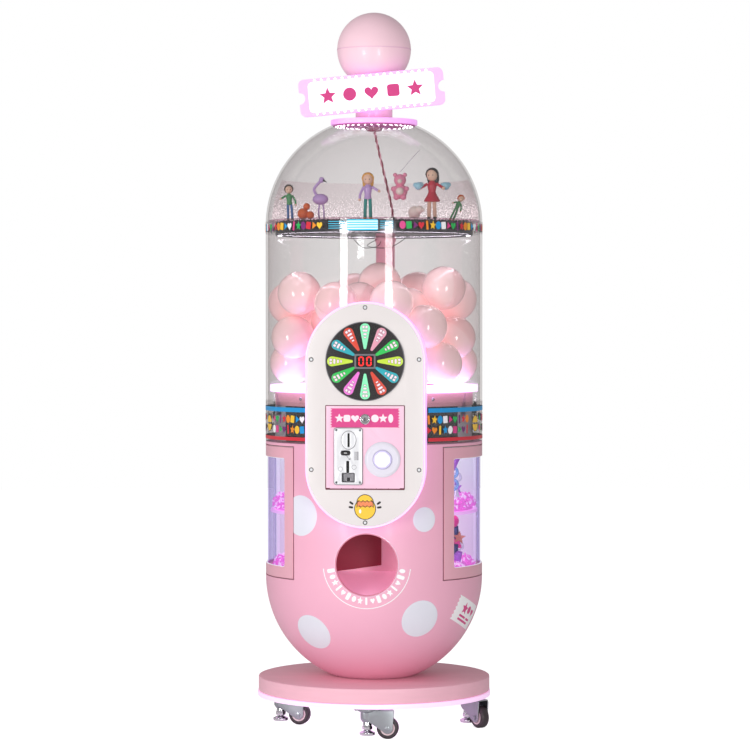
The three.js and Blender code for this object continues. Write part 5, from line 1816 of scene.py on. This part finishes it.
def make_figures():
    """Plain dolls and toys on the clear shelf."""
    shelf = SHELF_Z[1] + 0.2
    down, up = (0.17, -0.05, 0.42), (0.24, -0.04, 0.6)

    def pair(left, right):
        return ((-left[0], left[1], left[2]), right)

    peg_doll("one", -190, -40, 82, 10, -3, ("black", "green", "blue"), False, pair(up, down))
    peg_doll("two", -10, -60, 108, 0, 0, ("blond", "lilac", "teal"), False, pair(down, up), True)
    peg_doll("three", 137, -60, 118, -12, 0, ("black", "red", "red"), True, pair(up, up), True)
    peg_doll("four", 178, 6, 64, 30, 24, ("orange", "green", "green"), False, pair(up, down))
    round_toy("balloon", "orange", [(0, 0, 13, 13), (17, -4, 10, 9), (8, 4, 30, 8)], -158, -70, shelf)
    bear = [(0, 0, 16, 17), (0, -2, 42, 14)]
    for side in (-1, 1):
        bear += [(side * 11, -2, 54, 5), (side * 15, -4, 22, 6), (side * 8, -8, 3, 7)]
    round_toy("ears_pink", "pink", bear, 62, -30, 1216)
    round_toy("snout_cream", "cream", [(0, -14, 39, 5.5), (0, -13, 16, 9)], 62, -32, 1216)
    pig = [(0, 0, 14, 14), (12, -6, 20, 9), (20, -9, 19, 4), (-8, -4, 4, 4), (8, -4, 4, 4)]
    round_toy("pig", "cream", pig, 100, -120, shelf)
    puff = [(0, 0, 0, 9), (6, 3, 3, 6), (-6, -2, 2, 6)]
    round_toy("puff_left", "sky", puff, 106, -66, 1243)
    round_toy("puff_right", "sky", puff, 168, -58, 1243)
    neck = limb([(-128, -50, 1222), (-134, -54, 1236), (-126, -56, 1248), (-118, -58, 1256)], 3.4)
    body, head = ball(14, 24, (1.3, 0.9, 0.9)), ball(6.5, 16)
    bird = join(neck, at(body, -120, -48, 1214), at(head, -116, -59, 1258),
                limb([(-122, -48, 1202), (-124, -50, 1186), (-122, -50, shelf + 1)], 1.8),
                limb([(-114, -48, 1202), (-112, -46, 1186), (-112, -46, shelf + 1)], 1.8))
    piece("toy_bird", bird, TOY["lilac"], sharp=80)
    beak = tube([(-112, -62, 1257), (-104, -66, 1252)], [2.6, 0.6], 10)
    piece("toy_bird_beak", beak, TOY["black"])
    thread = spline([(62, -32, 1276), (80, -10, 1300), (104, 18, 1330)], 6)
    piece("toy_thread", tube(thread, 0.7, 6), WHITE)


# ---- Topper ------------------------------------------------------------------------------------


SIGN_SIZE = (332, 86, 12)
SIGN_Z, SIGN_LEAN = 1456, -5
GLOBE_R = 85


def make_topper():
    low, high = extent("topper_neck")
    neck = ring(12, 42.4, low.z, high.z, 1.2, 96)
    flange = ring(42, 47, low.z, low.z + 5, 1, 96)
    piece("neck_tube", join(neck, flange), TOPPER_PINK, replaces=["topper_neck"])
    ball_low, ball_high = extent("topper_ball")
    radius = GLOBE_R
    centre = ball_high.z - radius
    start = math.asin((ball_low.z - centre) / radius)
    turns = [start + (math.pi / 2 - start) * i / 48 for i in range(49)]
    profile = [(0, ball_low.z)] + [(radius * math.cos(a), centre + radius * math.sin(a)) for a in turns]
    profile[-1] = (0, ball_high.z)
    piece("topper_globe", lathe(profile, 128), TOPPER_PINK, replaces=["topper_ball"])
    seam = ring(radius - 0.4, radius + 0.5, centre - 1.2, centre + 1.2, 0.3, 128)
    piece("topper_seam", seam, HATCH_PAINT)
    make_sign()


def make_sign():
    """A lit ticket that leans on the neck, held by a bracket."""
    width, height, thick = SIGN_SIZE
    lean = turn_by(SIGN_LEAN, "Y")
    front = extent("topper_sign")[0].y
    place = Matrix.Translation((0, front + thick, SIGN_Z)) @ lean @ FRONT
    bracket = carve(block(-19, 19, -19, 19, -42, 0.5, 1), sign_neck_cutter())
    box = join(ticket_blank(width, height, thick, 0.4), bracket)
    piece("sign_box", moved(box, place), SIGN_EDGE, replaces=["topper_sign"])
    face = plate(rectangle(width - 44, height - 16, 10), 0.25)
    piece("sign_face", moved(at(face, 0, 0, thick), place), SIGN_LIGHT)
    shapes = ((star(20, 9), -100), (circle(15, 40), -50), (heart(34), 0),
              (rectangle(28, 28, 6), 50), (star(20, 9), 100))
    marks = [at(plate(shape, 0.15), x, 0, thick + 0.25) for shape, x in shapes]
    piece("sign_marks", moved(join(*marks), place), HOT_PINK)
    lamps = [at(ball(2.2, 12, (1, 1, 0.6)), -128 + 16 * i, row, thick)
             for i in range(17) for row in (-38, 38)]
    piece("sign_lamps", moved(join(*lamps), place), WHITE_LIGHT)


def ticket_blank(width, height, thick, inset):
    """A slab with rounded corners and a round bite in each end."""
    flat = plate(rectangle(width - 2 * inset, height - 2 * inset, 13), thick)
    bites = [at(plate(circle(13.6 + inset, 40, side * width / 2, 0), thick + 4), 0, 0, -2)
             for side in (-1, 1)]
    return carve(flat, *bites)


def sign_neck_cutter():
    """The neck's clearance, in the sign's own upright frame."""
    neck = disc(43, -80, 80, 0, 64)
    upright = turn_by(-SIGN_LEAN, "Y")
    return moved(at(neck, 0, 72, 0), FRONT.inverted() @ upright)


# ---- Build -------------------------------------------------------------------------------------


def make_floor():
    shape = disc(9000, -40, 0, 5, 64)
    moved(shape, Matrix.Scale(MM, 4))
    mesh = bpy.data.meshes.new("floor")
    shape.to_mesh(mesh)
    shape.free()
    floor = bpy.data.objects.new("floor", mesh)
    bpy.context.scene.collection.objects.link(floor)
    mesh.materials.append(floor_material())


def floor_material():
    """A white floor that looks as bright as the backdrop but adds little light of its own."""
    material, tree = new_material("studio_floor")
    white = mixed(tree, noise(tree, 1), (0.78, 0.78, 0.78, 1), (0.82, 0.82, 0.82, 1))
    matt = node(tree, "BsdfDiffuse", {"Color": white})
    seen = node(tree, "LightPath", {}).outputs["Is Camera Ray"]
    lift = node(tree, "Emission", {"Strength": spread(tree, seen, 0.1, 0.8, 0, 1)})
    both = node(tree, "AddShader", {0: matt.outputs[0], 1: lift.outputs[0]})
    node(tree, "OutputMaterial", {"Surface": both.outputs[0]})
    return material


make_floor()
make_base()
for caster_place in ("front", "right", "back", "left"):
    make_caster(caster_place)
make_shell()
make_side_doors()
make_rear_door()
make_inlet()
for side_place, side_sign in (("right", 1), ("left", -1)):
    make_display(side_place, side_sign)
    make_opening(side_place, side_sign)
make_goods()
make_outlet()
make_decals()
make_panel()
make_wheel()
make_hatch()
make_tube()
make_band()
make_drum()
make_capsules()
make_post()
make_show_drum()
make_dome()
make_cap()
make_figures()
make_topper()

bpy.context.view_layer.update()
